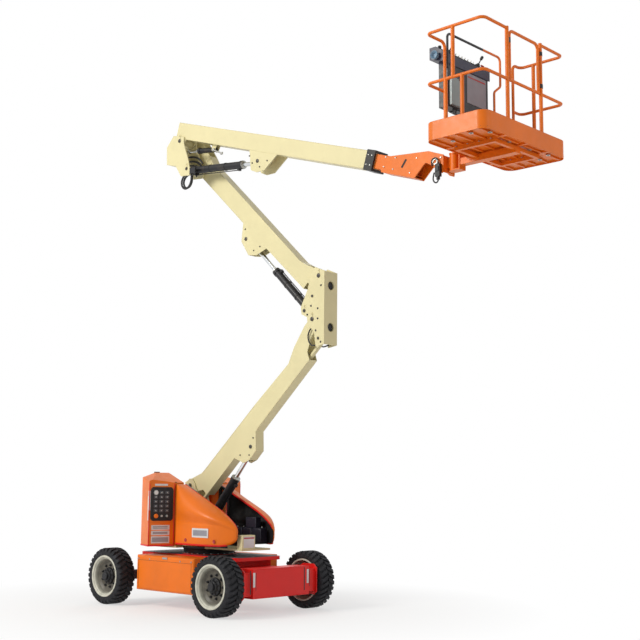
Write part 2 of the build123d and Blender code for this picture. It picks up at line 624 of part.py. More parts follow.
def save_lifts():
    for name, lift in LIFTS.items():
        save(f"{name}_barrel", bored_barrel(lift, LINK_PIN_RADIUS + 4), BLACK)
        rod = cylinder_rod(lift.base, lift.eye, lift.y, lift.length, lift.rod_radius, ROD_EYE_RADIUS,
                           lift.eye_width, lift.inside)
        save(f"{name}_rod", rod, CHROME)
    base = at(MAIN, *MASTER_BASE)
    master = LiftCylinder(base, MASTER_ANCHOR, MAIN_Y, MASTER_BARREL, MASTER_RADIUS, MASTER_ROD, MASTER_EYE,
                          MASTER_INSIDE)
    save("master_cylinder_barrel", bored_barrel(master, MASTER_PIN), BLACK)
    rod = cylinder_rod(base, MASTER_ANCHOR, MAIN_Y, MASTER_BARREL, MASTER_ROD, ROD_EYE_RADIUS - 8, MASTER_EYE,
                       MASTER_INSIDE)
    save("master_cylinder_rod", rod, CHROME)


# ---------------------------------------------------------------- tower

# Outlines of the tower booms' sides, along and above each boom's own pin line, from the tail round the top.
LOWER_TOP = [(-95, 40), (-77, 118), (66, 60), (240, -12), (393, -26), (762, -34), (1520, -42),
             (LOWER_LENGTH - 655, -80), (LOWER_LENGTH - 460, 0), (LOWER_LENGTH - 170, 66)]
MID_TOP = [(-68, -10), (-48, 48), (0, 68), (60, 46), (279, -37), (400, -68), (1641, -58),
           (MID_LENGTH - 650, -55), (MID_LENGTH - 460, 0), (MID_LENGTH - 170, 62)]
LOWER_LUG = ((1317, -300), (1165, -480), (1005, -485), (905, -445), (822, -285))
MID_LUG = ((1590, -295), (1450, -490), (1220, -543), (1103, -463), (1010, -293))
TAIL_BOTTOM = [(135, -285), (130, -195), (60, -150), (-35, -66)]


def strip(line, points, depth):
    """A flange of a tower boom: plate across its full width along a run of points."""
    run = points + [(along, above + depth) for along, above in reversed(points)]
    return plate([at(line, *point) for point in run], TOWER_Y - TUBE_WIDTH / 2, TOWER_Y + TUBE_WIDTH / 2)


def tower_boom(line, length, top, lug):
    """A tower boom: two deep sides between flanges, round ends at its pins, and a lug for its cylinder."""
    front = [(length + 45, 68), (length + 82, 20), (length + 82, -20), (length + 50, -66), (length, -84),
             (length - 176, -114), (length - 340, -198), (length - 382, -296)]
    outline = [at(line, *point) for point in top + front + list(lug) + TAIL_BOTTOM]
    half = TUBE_WIDTH / 2
    body = strip(line, top[4:-1], -TUBE_WALL)
    body += strip(line, [(135, -285), lug[-1]], TUBE_WALL)
    body += strip(line, [lug[0], (length - 382, -296)], TUBE_WALL)
    body += strip(line, [lug[0], lug[1]], 1.5 * TUBE_WALL)
    body += strip(line, [lug[1], lug[2]], TUBE_WALL)
    for low_y in (TOWER_Y - half, TOWER_Y + half - TUBE_WALL):
        body += plate(outline, low_y, low_y + TUBE_WALL)
    for along in (0, length):
        centre = at(line, along, 0)
        boss = half + RUNNING_GAP - 2
        body += bar_y(centre, PIN_RADIUS + 16, TOWER_Y - boss, TOWER_Y + boss)
        body -= bar_y(centre, PIN_RADIUS + PIN_GAP, TOWER_Y - half - 20, TOWER_Y + half + 20)
    return body


def timing_link(line, length, side):
    """A flat bar inside a tower boom that keeps the upright or the knuckle level."""
    low_pin = link_pin(line.pivot, side)
    own = Line(low_pin, line.angle, line.side)
    half = LINK_DEPTH / 2
    outline = [at(own, *point) for point in ((0, -half), (length, -half), (length, half), (0, half))]
    y = (TOWER_Y - LINK_WIDTH / 2, TOWER_Y + LINK_WIDTH / 2)
    link = plate(outline, *y)
    for along in (0, length):
        link += bar_y(at(own, along, 0), LINK_EYE, *y)
    for along in (0, length):
        link -= bar_y(at(own, along, 0), LINK_PIN_RADIUS + PIN_GAP, y[0] - 5, y[1] + 5)
    return link


def upright():
    """The column between the two tower booms: two cheeks, a front plate and the pins."""
    (lower_x, lower_z), (mid_x, mid_z) = UPRIGHT_PIVOT, MID_PIVOT
    front_low, front_high = lower_z - 310, mid_z + 45
    outline = [(mid_x - 40, lower_z - 330), (UPRIGHT_FRONT, front_low), (UPRIGHT_FRONT, front_high),
               (mid_x - 60, mid_z + 110), (mid_x - 130, mid_z + 40), (mid_x - 175, mid_z - 140),
               (MID_CYL_BASE[0] - 60, MID_CYL_BASE[1] + 45), (MID_CYL_BASE[0] - 45, MID_CYL_BASE[1] - 40),
               (lower_x - 85, lower_z + 30), (lower_x - 75, lower_z - 60), (lower_x + 30, lower_z - 150)]
    half = UPRIGHT_WIDTH / 2
    column = None
    for low_y in (TOWER_Y - half, TOWER_Y + half - UPRIGHT_PLATE):
        cheek = plate(outline, low_y, low_y + UPRIGHT_PLATE)
        column = cheek if column is None else column + cheek
    front = block((UPRIGHT_FRONT - UPRIGHT_PLATE, TOWER_Y - half, front_low - 1),
                  (UPRIGHT_FRONT, TOWER_Y + half, front_high))
    for z in (lower_z - 105, mid_z - 120):
        front -= Location((UPRIGHT_FRONT, TOWER_Y, z), (0, 90, 0)) * Cylinder(52, 100)
    column += front
    pins = ((UPRIGHT_PIVOT, PIN_RADIUS), (MID_PIVOT, PIN_RADIUS), (MID_CYL_BASE, LINK_PIN_RADIUS + 4),
            (link_pin(UPRIGHT_PIVOT, 1), LINK_PIN_RADIUS), (link_pin(MID_PIVOT, -1), LINK_PIN_RADIUS))
    cheek_face = TUBE_WIDTH / 2 + RUNNING_GAP
    for centre, radius in pins:
        column += bar_y(centre, radius, TOWER_Y - half - 6, TOWER_Y + half + 6)
        for side in (1, -1):
            ends = sorted((TOWER_Y + side * (half - 1), TOWER_Y + side * cheek_face))
            column += bar_y(centre, radius + 12, *ends)
    return column


def save_tower():
    save("lower_boom", tower_boom(LOWER, LOWER_LENGTH, LOWER_TOP, LOWER_LUG), CREAM)
    save("lower_timing_link", timing_link(LOWER, LOWER_LENGTH, 1), CREAM)
    save("upright", upright(), CREAM)
    save("mid_boom", tower_boom(MID, MID_LENGTH, MID_TOP, MID_LUG), CREAM)
    save("mid_timing_link", timing_link(MID, MID_LENGTH, -1), CREAM)


# ---------------------------------------------------------------- knuckle between the mid and main booms

MAIN_SIDE = MAIN_WIDTH / 2 + RUNNING_GAP        # the knuckle's plates beside the main boom
TOWER_SIDE = TUBE_WIDTH / 2 + RUNNING_GAP


def around(centre, offsets):
    """An outline given from a pin's centre."""
    return [(centre[0] + x, centre[1] + z) for x, z in offsets]


def upper_knuckle():
    """Two pairs of plates, one round the mid boom and one round the main boom, with their pins."""
    main_plate = around(MAIN_PIVOT, [(-130, 96), (-266, -40), (-256, -281), (-71, -331), (40, -490),
                                     (208, -507), (237, -485), (179, -281), (86, -54), (83, 38), (10, 66)])
    tower_plate = around(KNUCKLE_PIVOT, [(-60, 60), (0, 74), (55, 48), (74, -10), (20, -180), (-50, -290),
                                         (-130, -325), (-201, -325), (-205, -190), (-150, -60)])
    outer_y = MAIN_Y - MAIN_SIDE - KNUCKLE_PLATE
    far_y = TOWER_Y + TOWER_SIDE + KNUCKLE_PLATE
    low = KNUCKLE_PIVOT[1] - 320
    knuckle = block((KNUCKLE_PIVOT[0] - 201, outer_y, low), (KNUCKLE_PIVOT[0] - 187, far_y, low + 130))
    for middle, side, outline in ((MAIN_Y, MAIN_SIDE, main_plate), (TOWER_Y, TOWER_SIDE, tower_plate)):
        knuckle += plate(outline, middle - side - KNUCKLE_PLATE, middle - side)
        knuckle += plate(outline, middle + side, middle + side + KNUCKLE_PLATE)
    x, z = MAIN_PIVOT
    knuckle += block((x - 250, outer_y + 1, z - 280), (x - 140, MAIN_Y + MAIN_SIDE + 1, z - 266))
    pins = ((KNUCKLE_PIVOT, PIN_RADIUS, TOWER_Y, TOWER_SIDE), (MAIN_PIVOT, PIN_RADIUS, MAIN_Y, MAIN_SIDE),
            (link_pin(KNUCKLE_PIVOT, -1), LINK_PIN_RADIUS, TOWER_Y, TOWER_SIDE),
            (MAIN_CYL_BASE, LINK_PIN_RADIUS + 4, MAIN_Y, MAIN_SIDE))
    for centre, radius, middle, side in pins:
        reach = side + KNUCKLE_PLATE + 6
        knuckle += bar_y(centre, radius, middle - reach, middle + reach)
    return knuckle


# ---------------------------------------------------------------- main boom and fly

def boom_box(along, above, half_width, middle=MAIN_Y):
    """A square-cornered length of the main boom's line."""
    corners = [(along[0], above[0]), (along[1], above[0]), (along[1], above[1]), (along[0], above[1])]
    return plate([at(MAIN, *corner) for corner in corners], middle - half_width, middle + half_width)


def main_boom():
    """The main boom's tube with its collar, pivot lugs, cylinder lug and levelling lug."""
    half = MAIN_WIDTH / 2
    collar_start = MAIN_LENGTH - COLLAR_LENGTH
    body = boom_box((-MAIN_TAIL, MAIN_LENGTH), (MAIN_LOW, MAIN_HIGH), half)
    body += boom_box((collar_start, MAIN_LENGTH), (MAIN_LOW - COLLAR_WALL, MAIN_HIGH + COLLAR_WALL),
                     half + COLLAR_WALL)
    body -= boom_box((MAIN_WALL - MAIN_TAIL, collar_start), (MAIN_LOW + MAIN_WALL, MAIN_HIGH - MAIN_WALL),
                     half - MAIN_WALL)
    body -= boom_box((collar_start - 1, MAIN_LENGTH + 1), (FLY_LOW - SLIDE_GAP, FLY_HIGH + SLIDE_GAP),
                     FLY_WIDTH / 2 + SLIDE_GAP)
    eye_along = MAIN_CYL_EYE[0]
    body -= boom_box((eye_along - 150, eye_along + 150), (MAIN_LOW - 1, MAIN_LOW + MAIN_WALL + 1), 46)
    pivot_lug = [(-85, MAIN_LOW + 1), (-62, -35), (-25, -62), (25, -62), (62, -35), (100, MAIN_LOW + 1)]
    lift_lug = [(eye_along - 193, MAIN_LOW + 1), (eye_along - 86, -210), (eye_along + 24, -222),
                (eye_along + 156, -180), (eye_along + 324, MAIN_LOW + 1)]
    for outline in (pivot_lug, lift_lug):
        for inner in (MAIN_Y - half, MAIN_Y + half - KNUCKLE_PLATE):
            body += plate([at(MAIN, *point) for point in outline], inner, inner + KNUCKLE_PLATE)
    boss = half + RUNNING_GAP - 2
    body += bar_y(MAIN_PIVOT, PIN_RADIUS + 20, MAIN_Y - boss, MAIN_Y + boss)
    body -= bar_y(MAIN_PIVOT, PIN_RADIUS + PIN_GAP, MAIN_Y - half - 20, MAIN_Y + half + 20)
    along, above = MASTER_BASE
    master_lug = [(along - 45, MAIN_LOW + 1), (along - 28, above - 20), (along, above - 32),
                  (along + 28, above - 20), (along + 45, MAIN_LOW + 1)]
    for low_y in (MAIN_Y - MASTER_EYE / 2 - RUNNING_GAP - 10, MAIN_Y + MASTER_EYE / 2 + RUNNING_GAP):
        body += plate([at(MAIN, *point) for point in master_lug], low_y, low_y + 10)
    reach = MASTER_EYE / 2 + RUNNING_GAP + 14
    return body + bar_y(at(MAIN, *MASTER_BASE), MASTER_PIN, MAIN_Y - reach, MAIN_Y + reach)


def fly_boom():
    """The sliding boom, with the forked nose that carries the platform's levelling head."""
    half = FLY_WIDTH / 2
    rear = MAIN_LENGTH - FLY_INSIDE
    tip, above = LEVEL_PIVOT
    front = tip - 276
    fly = boom_box((rear, front), (FLY_LOW, FLY_HIGH), half)
    pad_gap = MAIN_WALL + SLIDE_GAP
    fly += boom_box((rear, rear + 100), (MAIN_LOW + pad_gap, MAIN_HIGH - pad_gap), MAIN_WIDTH / 2 - pad_gap)
    fly -= boom_box((rear - 1, front + 1), (FLY_LOW + FLY_WALL, FLY_HIGH - FLY_WALL), half - FLY_WALL)
    side = [(tip - 800, above - 42), (tip - 135, above + 104), (tip - 46, above + 97), (tip + 24, above + 44),
            (tip + 50, above), (tip + 24, above - 44), (tip - 30, above - 46), (tip - 141, above - 23),
            (tip - 167, above - 60), (tip - 249, above - 207), (tip - 739, above - 201)]
    for low_y in (MAIN_Y - half - NOSE_PLATE, MAIN_Y + half):
        fly += plate([at(MAIN, *point) for point in side], low_y, low_y + NOSE_PLATE)
    roof = [(tip - 660, FLY_HIGH - 1), (tip - 135, above + 103), (tip - 46, above + 96),
            (tip - 46, above + 86), (tip - 135, above + 93), (tip - 614, FLY_HIGH - 1)]
    floor = [(tip - 738, above - 200), (tip - 249, above - 206), (tip - 249, above - 194),
             (tip - 738, above - 188)]
    for outline in (roof, floor):
        fly += plate([at(MAIN, *point) for point in outline], MAIN_Y - half - 1, MAIN_Y + half + 1)
    reach = half + NOSE_PLATE + 1
    return fly - bar_y(at(MAIN, *LEVEL_PIVOT), LEVEL_PIN_RADIUS + PIN_GAP, MAIN_Y - reach, MAIN_Y + reach)


def save_main():
    save("upper_knuckle", upper_knuckle(), CREAM)
    save("main_boom", main_boom(), CREAM)
    save("fly_boom", fly_boom(), ORANGE)


# ---------------------------------------------------------------- platform

def tube(points, bend, radius):
    """A bent round tube through a row of corners."""
    path = FilletPolyline(*points, radius=bend) if len(points) > 2 else Polyline(*points)
    return sweep(Plane(origin=path @ 0, z_dir=path % 0) * Circle(radius), path=path)


def level_head():
    """The levelled head on the fly's nose: two cheeks, their pin, and the rotator's housing."""
    pin = at(MAIN, *LEVEL_PIVOT)
    face = FLY_WIDTH / 2 + NOSE_PLATE + RUNNING_GAP
    cheek = around(pin, [(-39, 114), (111, 58), (111, -60), (97, -142), (40, -120), (-14, -60), (-48, -25),
                         (-52, 20)])
    head = block((pin[0] + 99, MAIN_Y - face - 1, pin[1] - 130),
                 (pin[0] + 111, MAIN_Y + face + 1, pin[1] + 50))
    for low_y in (MAIN_Y - face - HEAD_CHEEK, MAIN_Y + face):
        head += plate(cheek, low_y, low_y + HEAD_CHEEK)
    reach = face + HEAD_CHEEK + 6
    head += bar_y(pin, LEVEL_PIN_RADIUS, MAIN_Y - reach, MAIN_Y + reach)
    head += bar_z(ROTATOR_X, MAIN_Y, ROTATOR_RADIUS, ROTATOR_BOTTOM, ROTATOR_TOP)
    neck = block((pin[0] + 110, MAIN_Y - 35, ROTATOR_BOTTOM + 30),
                 (ROTATOR_X, MAIN_Y + 35, ROTATOR_TOP - 35))
    return head + neck


def platform_support():
    """The fork that the rotator turns: a clevis over and under it, and tubes below the floor."""
    half = SUPPORT_WIDTH / 2
    face = ROTATOR_X + SUPPORT_REACH
    low, high = ROTATOR_BOTTOM - PIN_GAP - SUPPORT_PLATE, ROTATOR_TOP + PIN_GAP + SUPPORT_PLATE
    support = block((face, MAIN_Y - half, low), (face + SUPPORT_PLATE, MAIN_Y + half, high))
    for z in (low, high - SUPPORT_PLATE):
        support += block((ROTATOR_X, MAIN_Y - half, z), (face + 1, MAIN_Y + half, z + SUPPORT_PLATE))
        support += bar_z(ROTATOR_X, MAIN_Y, half, z, z + SUPPORT_PLATE)
    top = PLATFORM_BOTTOM - PIN_GAP
    front = PLATFORM_X + PLATFORM_DEPTH / 3
    support += block((face + 1, MAIN_Y - 45, top - 70), (front, MAIN_Y + 45, top))
    rear = PLATFORM_X - PLATFORM_DEPTH / 3
    for x in (rear, front - SUPPORT_TUBE):
        support += block((x, MAIN_Y - SUPPORT_SPREAD - SUPPORT_TUBE / 2, top - SUPPORT_TUBE),
                         (x + SUPPORT_TUBE, MAIN_Y + SUPPORT_SPREAD + SUPPORT_TUBE / 2, top))
    for side in (1, -1):
        y = MAIN_Y + side * SUPPORT_SPREAD
        support += block((rear, y - SUPPORT_TUBE / 2, top - SUPPORT_TUBE), (front, y + SUPPORT_TUBE / 2, top))
    return support


def platform_pan():
    """The platform's floor with the deep kick plate round it."""
    def body(inset, height):
        box = Box(PLATFORM_DEPTH - 2 * inset, PLATFORM_LENGTH - 2 * inset, height,
                  align=(Align.CENTER, Align.CENTER, Align.MIN))
        return fillet(box.edges().filter_by(Axis.Z), PLATFORM_CORNER - inset)
    place = Pos(PLATFORM_X, MAIN_Y, PLATFORM_BOTTOM)
    pan = body(0, PAN_HEIGHT)
    pan -= Pos(0, 0, FLOOR_HEIGHT) * body(PAN_WALL, PAN_HEIGHT)
    pan -= Pos(0, 0, -1) * body(PAN_WALL, FLOOR_HEIGHT - PAN_WALL + 1)
    for y in (-SUPPORT_SPREAD, 0, SUPPORT_SPREAD):
        pan += Pos(0, y, 0) * Box(PLATFORM_DEPTH - PAN_WALL, SUPPORT_TUBE, FLOOR_HEIGHT - 1,
                                  align=(Align.CENTER, Align.CENTER, Align.MIN))
    return place * pan


FRONT_X = PLATFORM_X + PLATFORM_DEPTH / 2 - RAIL_INSET
REAR_X = PLATFORM_X - PLATFORM_DEPTH / 2 + RAIL_INSET
RIGHT_Y = MAIN_Y - PLATFORM_LENGTH / 2 + RAIL_INSET
LEFT_Y = MAIN_Y + PLATFORM_LENGTH / 2 - RAIL_INSET
FLOOR_Z = PLATFORM_BOTTOM + FLOOR_HEIGHT


def rail_bay(end_y, gate_y, rear_x, rear_y, posts):
    """One end of the platform's rails: a top and a mid rail round three sides, and its posts."""
    top_z, mid_z = PLATFORM_BOTTOM + RAIL_HEIGHT, PLATFORM_BOTTOM + MID_RAIL
    foot = FLOOR_Z + PIN_GAP
    corners = [(FRONT_X, gate_y), (FRONT_X, end_y), (rear_x, end_y), (rear_x, rear_y)]
    bay = tube([(x, y, top_z) for x, y in corners] + [(rear_x, rear_y, foot)], RAIL_BEND,
               RAIL_RADIUS)
    bay += tube([(x, y, mid_z) for x, y in corners], RAIL_BEND, RAIL_RADIUS)
    bay += bar_z(FRONT_X, gate_y, POST_RADIUS, foot, top_z + RAIL_RADIUS)
    for x, low, high in posts:
        bay += bar_z(x, end_y, POST_RADIUS, low, high)
    return bay


def platform_rails():
    """The right-hand and left-hand bays, with the gate's opening between them."""
    top_z, mid_z = PLATFORM_BOTTOM + RAIL_HEIGHT, PLATFORM_BOTTOM + MID_RAIL
    foot = FLOOR_Z + PIN_GAP
    posts = [(PLATFORM_X - 22, mid_z, top_z), (PLATFORM_X - 112, foot, mid_z), (PLATFORM_X + 88, foot, mid_z)]
    right = rail_bay(RIGHT_Y, GATE_NEAR, REAR_X, RIGHT_Y + 300, posts)
    left = rail_bay(LEFT_Y, GATE_FAR, REAR_X + 162, LEFT_Y - 145, [(PLATFORM_X - 15, foot, top_z)])
    return right, left


def platform_gate():
    """The loop that closes the entry, hinged on the left-hand gate post."""
    top_z, mid_z = PLATFORM_BOTTOM + RAIL_HEIGHT - 10, PLATFORM_BOTTOM + MID_RAIL
    near = GATE_NEAR + POST_RADIUS + RUNNING_GAP + RAIL_RADIUS
    far = GATE_FAR - POST_RADIUS - RUNNING_GAP - RAIL_RADIUS - 6
    corners = [(near, mid_z), (near, top_z), (far, top_z), (far, mid_z)]
    loop = tube([(FRONT_X, y, z) for y, z in corners], RAIL_BEND, RAIL_RADIUS)
    loop += tube([(FRONT_X, near - RAIL_RADIUS, mid_z), (FRONT_X, far + RAIL_RADIUS, mid_z)], 0, RAIL_RADIUS)
    for z in (mid_z + 60, top_z - 110):
        loop += block((FRONT_X - 6, far, z), (FRONT_X + 6, GATE_FAR - POST_RADIUS - PIN_GAP, z + 40))
    return loop


def control_console():
    """The operator's console on the boom side of the rails, with the guard tube over it."""
    front, top = REAR_X - 28, PLATFORM_BOTTOM + CONSOLE_TOP
    cabinet = block((front - 115, MAIN_Y - 340, PLATFORM_BOTTOM + CABINET_BOTTOM),
                    (front, MAIN_Y + 380, top - 120))
    profile = [(front - 170, top - 130), (front + 8, top - 180), (front + 8, top - 75), (front - 90, top),
               (front - 170, top)]
    box = plate(profile, MAIN_Y - 425, MAIN_Y + 410)
    guard_z = PLATFORM_BOTTOM + GUARD_HEIGHT
    near, far = MAIN_Y - 380, MAIN_Y + 580
    guard = tube([(REAR_X, near, top - 250), (REAR_X, near, guard_z), (REAR_X, far, guard_z),
                  (REAR_X, far, guard_z - 330), (REAR_X, far - 120, guard_z - 420),
                  (REAR_X, far - 120, FLOOR_Z + PIN_GAP)], 50, RAIL_RADIUS - 3)
    for y, z in ((near, top - 205), (far - 120, PLATFORM_BOTTOM + MID_RAIL - 40)):
        guard += block((front - 20, min(y, MAIN_Y + 360), z), (REAR_X, max(y, y - 60) + 8, z + 40))
    console = cabinet + box + guard
    anchor_z = PLATFORM_BOTTOM + CABINET_BOTTOM - 30
    for y in (MAIN_Y - ANCHOR_SPREAD, MAIN_Y + ANCHOR_SPREAD):
        console += block((front - 24, y - 30, anchor_z - 28), (front - 12, y + 30, anchor_z + 31))
        console -= Location((front - 18, y, anchor_z), (0, 90, 0)) * Cylinder(ANCHOR_RADIUS, 30)
    return console


def save_platform():
    save("level_head", level_head(), ORANGE)
    save("platform_support", platform_support(), ORANGE)
    save("platform_pan", platform_pan(), ORANGE)
    right, left = platform_rails()
    save("platform_rail_right", right, ORANGE)
    save("platform_rail_left", left, ORANGE)
    save("platform_gate", platform_gate(), ORANGE)
    save("control_console", control_console(), BLACK)


save_wheels()
save_chassis()
save_turntable()
save_lifts()
save_tower()
save_main()
save_platform()
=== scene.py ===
import json
from math import atan2, cos, pi, radians, sin, sqrt, tan

import bmesh
import bpy
from mathutils import Matrix, Vector


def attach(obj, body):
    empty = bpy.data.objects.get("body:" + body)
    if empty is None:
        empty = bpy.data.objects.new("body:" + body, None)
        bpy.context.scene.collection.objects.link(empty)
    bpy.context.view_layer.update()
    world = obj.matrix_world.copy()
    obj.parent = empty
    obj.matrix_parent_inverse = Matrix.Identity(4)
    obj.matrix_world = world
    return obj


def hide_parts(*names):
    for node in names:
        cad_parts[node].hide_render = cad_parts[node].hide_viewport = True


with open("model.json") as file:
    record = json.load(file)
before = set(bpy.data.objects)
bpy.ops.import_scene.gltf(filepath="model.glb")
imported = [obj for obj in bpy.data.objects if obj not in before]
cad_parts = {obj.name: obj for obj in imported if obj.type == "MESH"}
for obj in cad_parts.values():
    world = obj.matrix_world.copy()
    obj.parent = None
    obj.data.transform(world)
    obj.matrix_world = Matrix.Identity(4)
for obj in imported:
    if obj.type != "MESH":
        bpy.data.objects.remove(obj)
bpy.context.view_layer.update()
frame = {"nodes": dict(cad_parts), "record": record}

nodes = frame["nodes"]
scene = bpy.context.scene


def around(count, shift=0.0):
    """Angles evenly spaced round a circle."""
    return [2 * pi * (index + shift) / count for index in range(count)]


# ------------------------------------------------------------------ materials
def srgb(r, g, b):
    """A display colour, 0 to 255, as Blender's linear one."""
    def lin(c):
        c /= 255
        return c / 12.92 if c <= 0.04045 else ((c + 0.055) / 1.055) ** 2.4
    return lin(r), lin(g), lin(b), 1.0


class Nodes:
    """A short way to wire a material."""

    def __init__(self, name):
        self.mat = bpy.data.materials.new(name)
        self.mat.use_nodes = True
        self.tree = self.mat.node_tree
        self.bsdf = self.tree.nodes["Principled BSDF"]
        self.coord = self.add("ShaderNodeTexCoord").outputs["Object"]

    def add(self, kind, **values):
        node = self.tree.nodes.new(kind)
        for key, value in values.items():
            if key in node.inputs:
                node.inputs[key].default_value = value
            else:
                setattr(node, key, value)
        return node

    def link(self, out, into):
        self.tree.links.new(out, into)

    def noise(self, scale, detail=4.0, rough=0.5, stretch=None):
        node = self.add("ShaderNodeTexNoise", Scale=scale, Detail=detail, Roughness=rough)
        source = self.coord
        if stretch:
            place = self.add("ShaderNodeMapping")
            place.inputs["Scale"].default_value = stretch
            self.link(source, place.inputs["Vector"])
            source = place.outputs["Vector"]
        self.link(source, node.inputs["Vector"])
        return node.outputs["Fac"]

    def ramp(self, factor, low, high, a, b):
        node = self.add("ShaderNodeMapRange")
        for key, value in (("From Min", low), ("From Max", high), ("To Min", a), ("To Max", b)):
            node.inputs[key].default_value = value
        self.link(factor, node.inputs["Value"])
        return node.outputs["Result"]

    def feed(self, value, socket):
        """Joins a socket to another's output, or gives it a plain value."""
        if hasattr(value, "links"):
            self.link(value, socket)
        else:
            socket.default_value = value

    def mix(self, factor, a, b):
        node = self.add("ShaderNodeMix", data_type="RGBA")
        self.feed(a, node.inputs[6])
        self.feed(b, node.inputs[7])
        self.link(factor, node.inputs[0])
        return node.outputs[2]

    def math(self, operation, a, b):
        node = self.add("ShaderNodeMath", operation=operation)
        self.feed(a, node.inputs[0])
        self.feed(b, node.inputs[1])
        return node.outputs[0]

    def both(self, a, b):
        return self.math("MULTIPLY", a, b)

    def beyond(self, axis, value, operation="GREATER_THAN"):
        """1 where a place lies past a value on an axis, else 0."""
        place = self.add("ShaderNodeSeparateXYZ")
        self.link(self.coord, place.inputs[0])
        return self.math(operation, place.outputs[axis], value)

    def cloudy(self, scale, detail, span, low, high):
        """A noise drawn out between two values, or two colours."""
        if isinstance(low, tuple):
            return self.mix(self.ramp(self.noise(scale, detail), *span, 0.0, 1.0), low, high)
        return self.ramp(self.noise(scale, detail), *span, low, high)

    def coat(self, tone, rough, grain, strength, distance, edge):
        """Wires the colour, the roughness, and a fine bump over softened edges."""
        self.link(tone, self.bsdf.inputs["Base Color"])
        self.feed(rough, self.bsdf.inputs["Roughness"])
        soft = self.add("ShaderNodeBevel", Radius=edge, samples=4)
        node = self.add("ShaderNodeBump", Strength=strength, Distance=distance)
        self.link(grain, node.inputs["Height"])
        self.link(soft.outputs["Normal"], node.inputs["Normal"])
        self.link(node.outputs["Normal"], self.bsdf.inputs["Normal"])
        return self.mat

    def put(self, key, value):
        self.bsdf.inputs[key].default_value = value


WIDE, NARROW = (0.3, 0.7), (0.35, 0.65)   # the parts of a noise that a blend is drawn over


def shaded(colour, share):
    return tuple(c * share for c in colour[:3]) + (1.0,)


def enamel(name, colour, shade=0.9, rough=0.4, coat=0.06, grime=0.1):
    """Sprayed machine enamel: faint mottling, orange peel, softened edges, dust in low places."""
    n = Nodes(name)
    base = srgb(*colour)
    tone = n.cloudy(2.3, 6.0, NARROW, shaded(base, shade), base)
    dust = n.ramp(n.noise(7.0, 8.0, 0.65), 0.56, 0.8, 0.0, grime)
    n.put("Coat Weight", coat)
    n.put("Coat Roughness", 0.12)
    n.put("Specular IOR Level", 0.3)
    wear = n.cloudy(14.0, 6.0, WIDE, rough - 0.05, rough + 0.08)
    return n.coat(n.mix(dust, tone, srgb(150, 135, 115)), wear, n.noise(420.0, 2.0), 0.06, 0.0006, 0.004)


def rubber(name):
    """Moulded solid rubber, greyer and dustier where it is worn."""
    n = Nodes(name)
    dust = n.ramp(n.noise(9.0, 8.0, 0.6), 0.5, 0.78, 0.0, 0.55)
    n.put("Specular IOR Level", 0.35)
    return n.coat(n.mix(dust, srgb(20, 21, 26), srgb(58, 59, 66)), n.cloudy(30.0, 5.0, WIDE, 0.62, 0.86),
                  n.noise(260.0, 5.0), 0.35, 0.0015, 0.003)


def metal(name, colour, rough):
    """Bare or plated metal with fine turning marks."""
    n = Nodes(name)
    n.put("Metallic", 1.0)
    base = srgb(*colour)
    turned = (1.0, 1.0, 40.0)
    wear = n.ramp(n.noise(20.0, 4.0, 0.5, turned), *WIDE, rough * 0.7, rough * 1.5)
    return n.coat(n.cloudy(5.0, 5.0, WIDE, shaded(base, 0.75), base), wear,
                  n.noise(60.0, 3.0, 0.5, turned), 0.05, 0.0008, 0.0015)


def plastic(name, colour, rough=0.5, grain=0.2):
    """Moulded plastic or hose cover with a fine grain."""
    n = Nodes(name)
    base = srgb(*colour)
    wear = n.cloudy(25.0, 4.0, WIDE, rough - 0.08, rough + 0.08)
    return n.coat(n.cloudy(6.0, 6.0, WIDE, shaded(base, 0.8), base), wear, n.noise(700.0, 3.0), grain,
                  0.0005, 0.002)


WHEEL_X, WHEEL_Y, WHEEL_R = 1.0, 0.75, 0.3465   # the wheels' centres, either way, and their radius


def rim_paint_and_painted_shade():
    """Pale grey rims; the hollow dish inside each one is darkened as painted shade."""
    n = Nodes("rim_paint_and_painted_shade")
    axle = n.add("ShaderNodeVectorMath", operation="ABSOLUTE")
    n.link(n.coord, axle.inputs[0])
    flat = n.add("ShaderNodeVectorMath", operation="MULTIPLY")
    flat.inputs[1].default_value = (1, 0, 1)
    n.link(axle.outputs["Vector"], flat.inputs[0])
    apart = n.add("ShaderNodeVectorMath", operation="DISTANCE")
    apart.inputs[1].default_value = (WHEEL_X, 0.0, WHEEL_R)
    n.link(flat.outputs["Vector"], apart.inputs[0])
    far = n.ramp(apart.outputs["Value"], 0.19, 0.222, 0.0, 1.0)
    cloud = n.ramp(n.noise(16.0, 6.0), *NARROW, 0.0, 1.0)
    # Painted shade: the dark inner dish stands for the shade in each rim's hollow; the pale lip is the rim's
    # own colour.
    painted_shade_disc = n.mix(cloud, srgb(74, 70, 62), srgb(98, 94, 84))
    edge = n.mix(cloud, srgb(190, 190, 178), srgb(212, 211, 198))
    n.put("Specular IOR Level", 0.35)
    return n.coat(n.mix(far, painted_shade_disc, edge), 0.42, n.noise(420.0, 2.0), 0.06, 0.0006, 0.003)


ORANGE = enamel("orange_enamel", (238, 118, 18), shade=0.86)
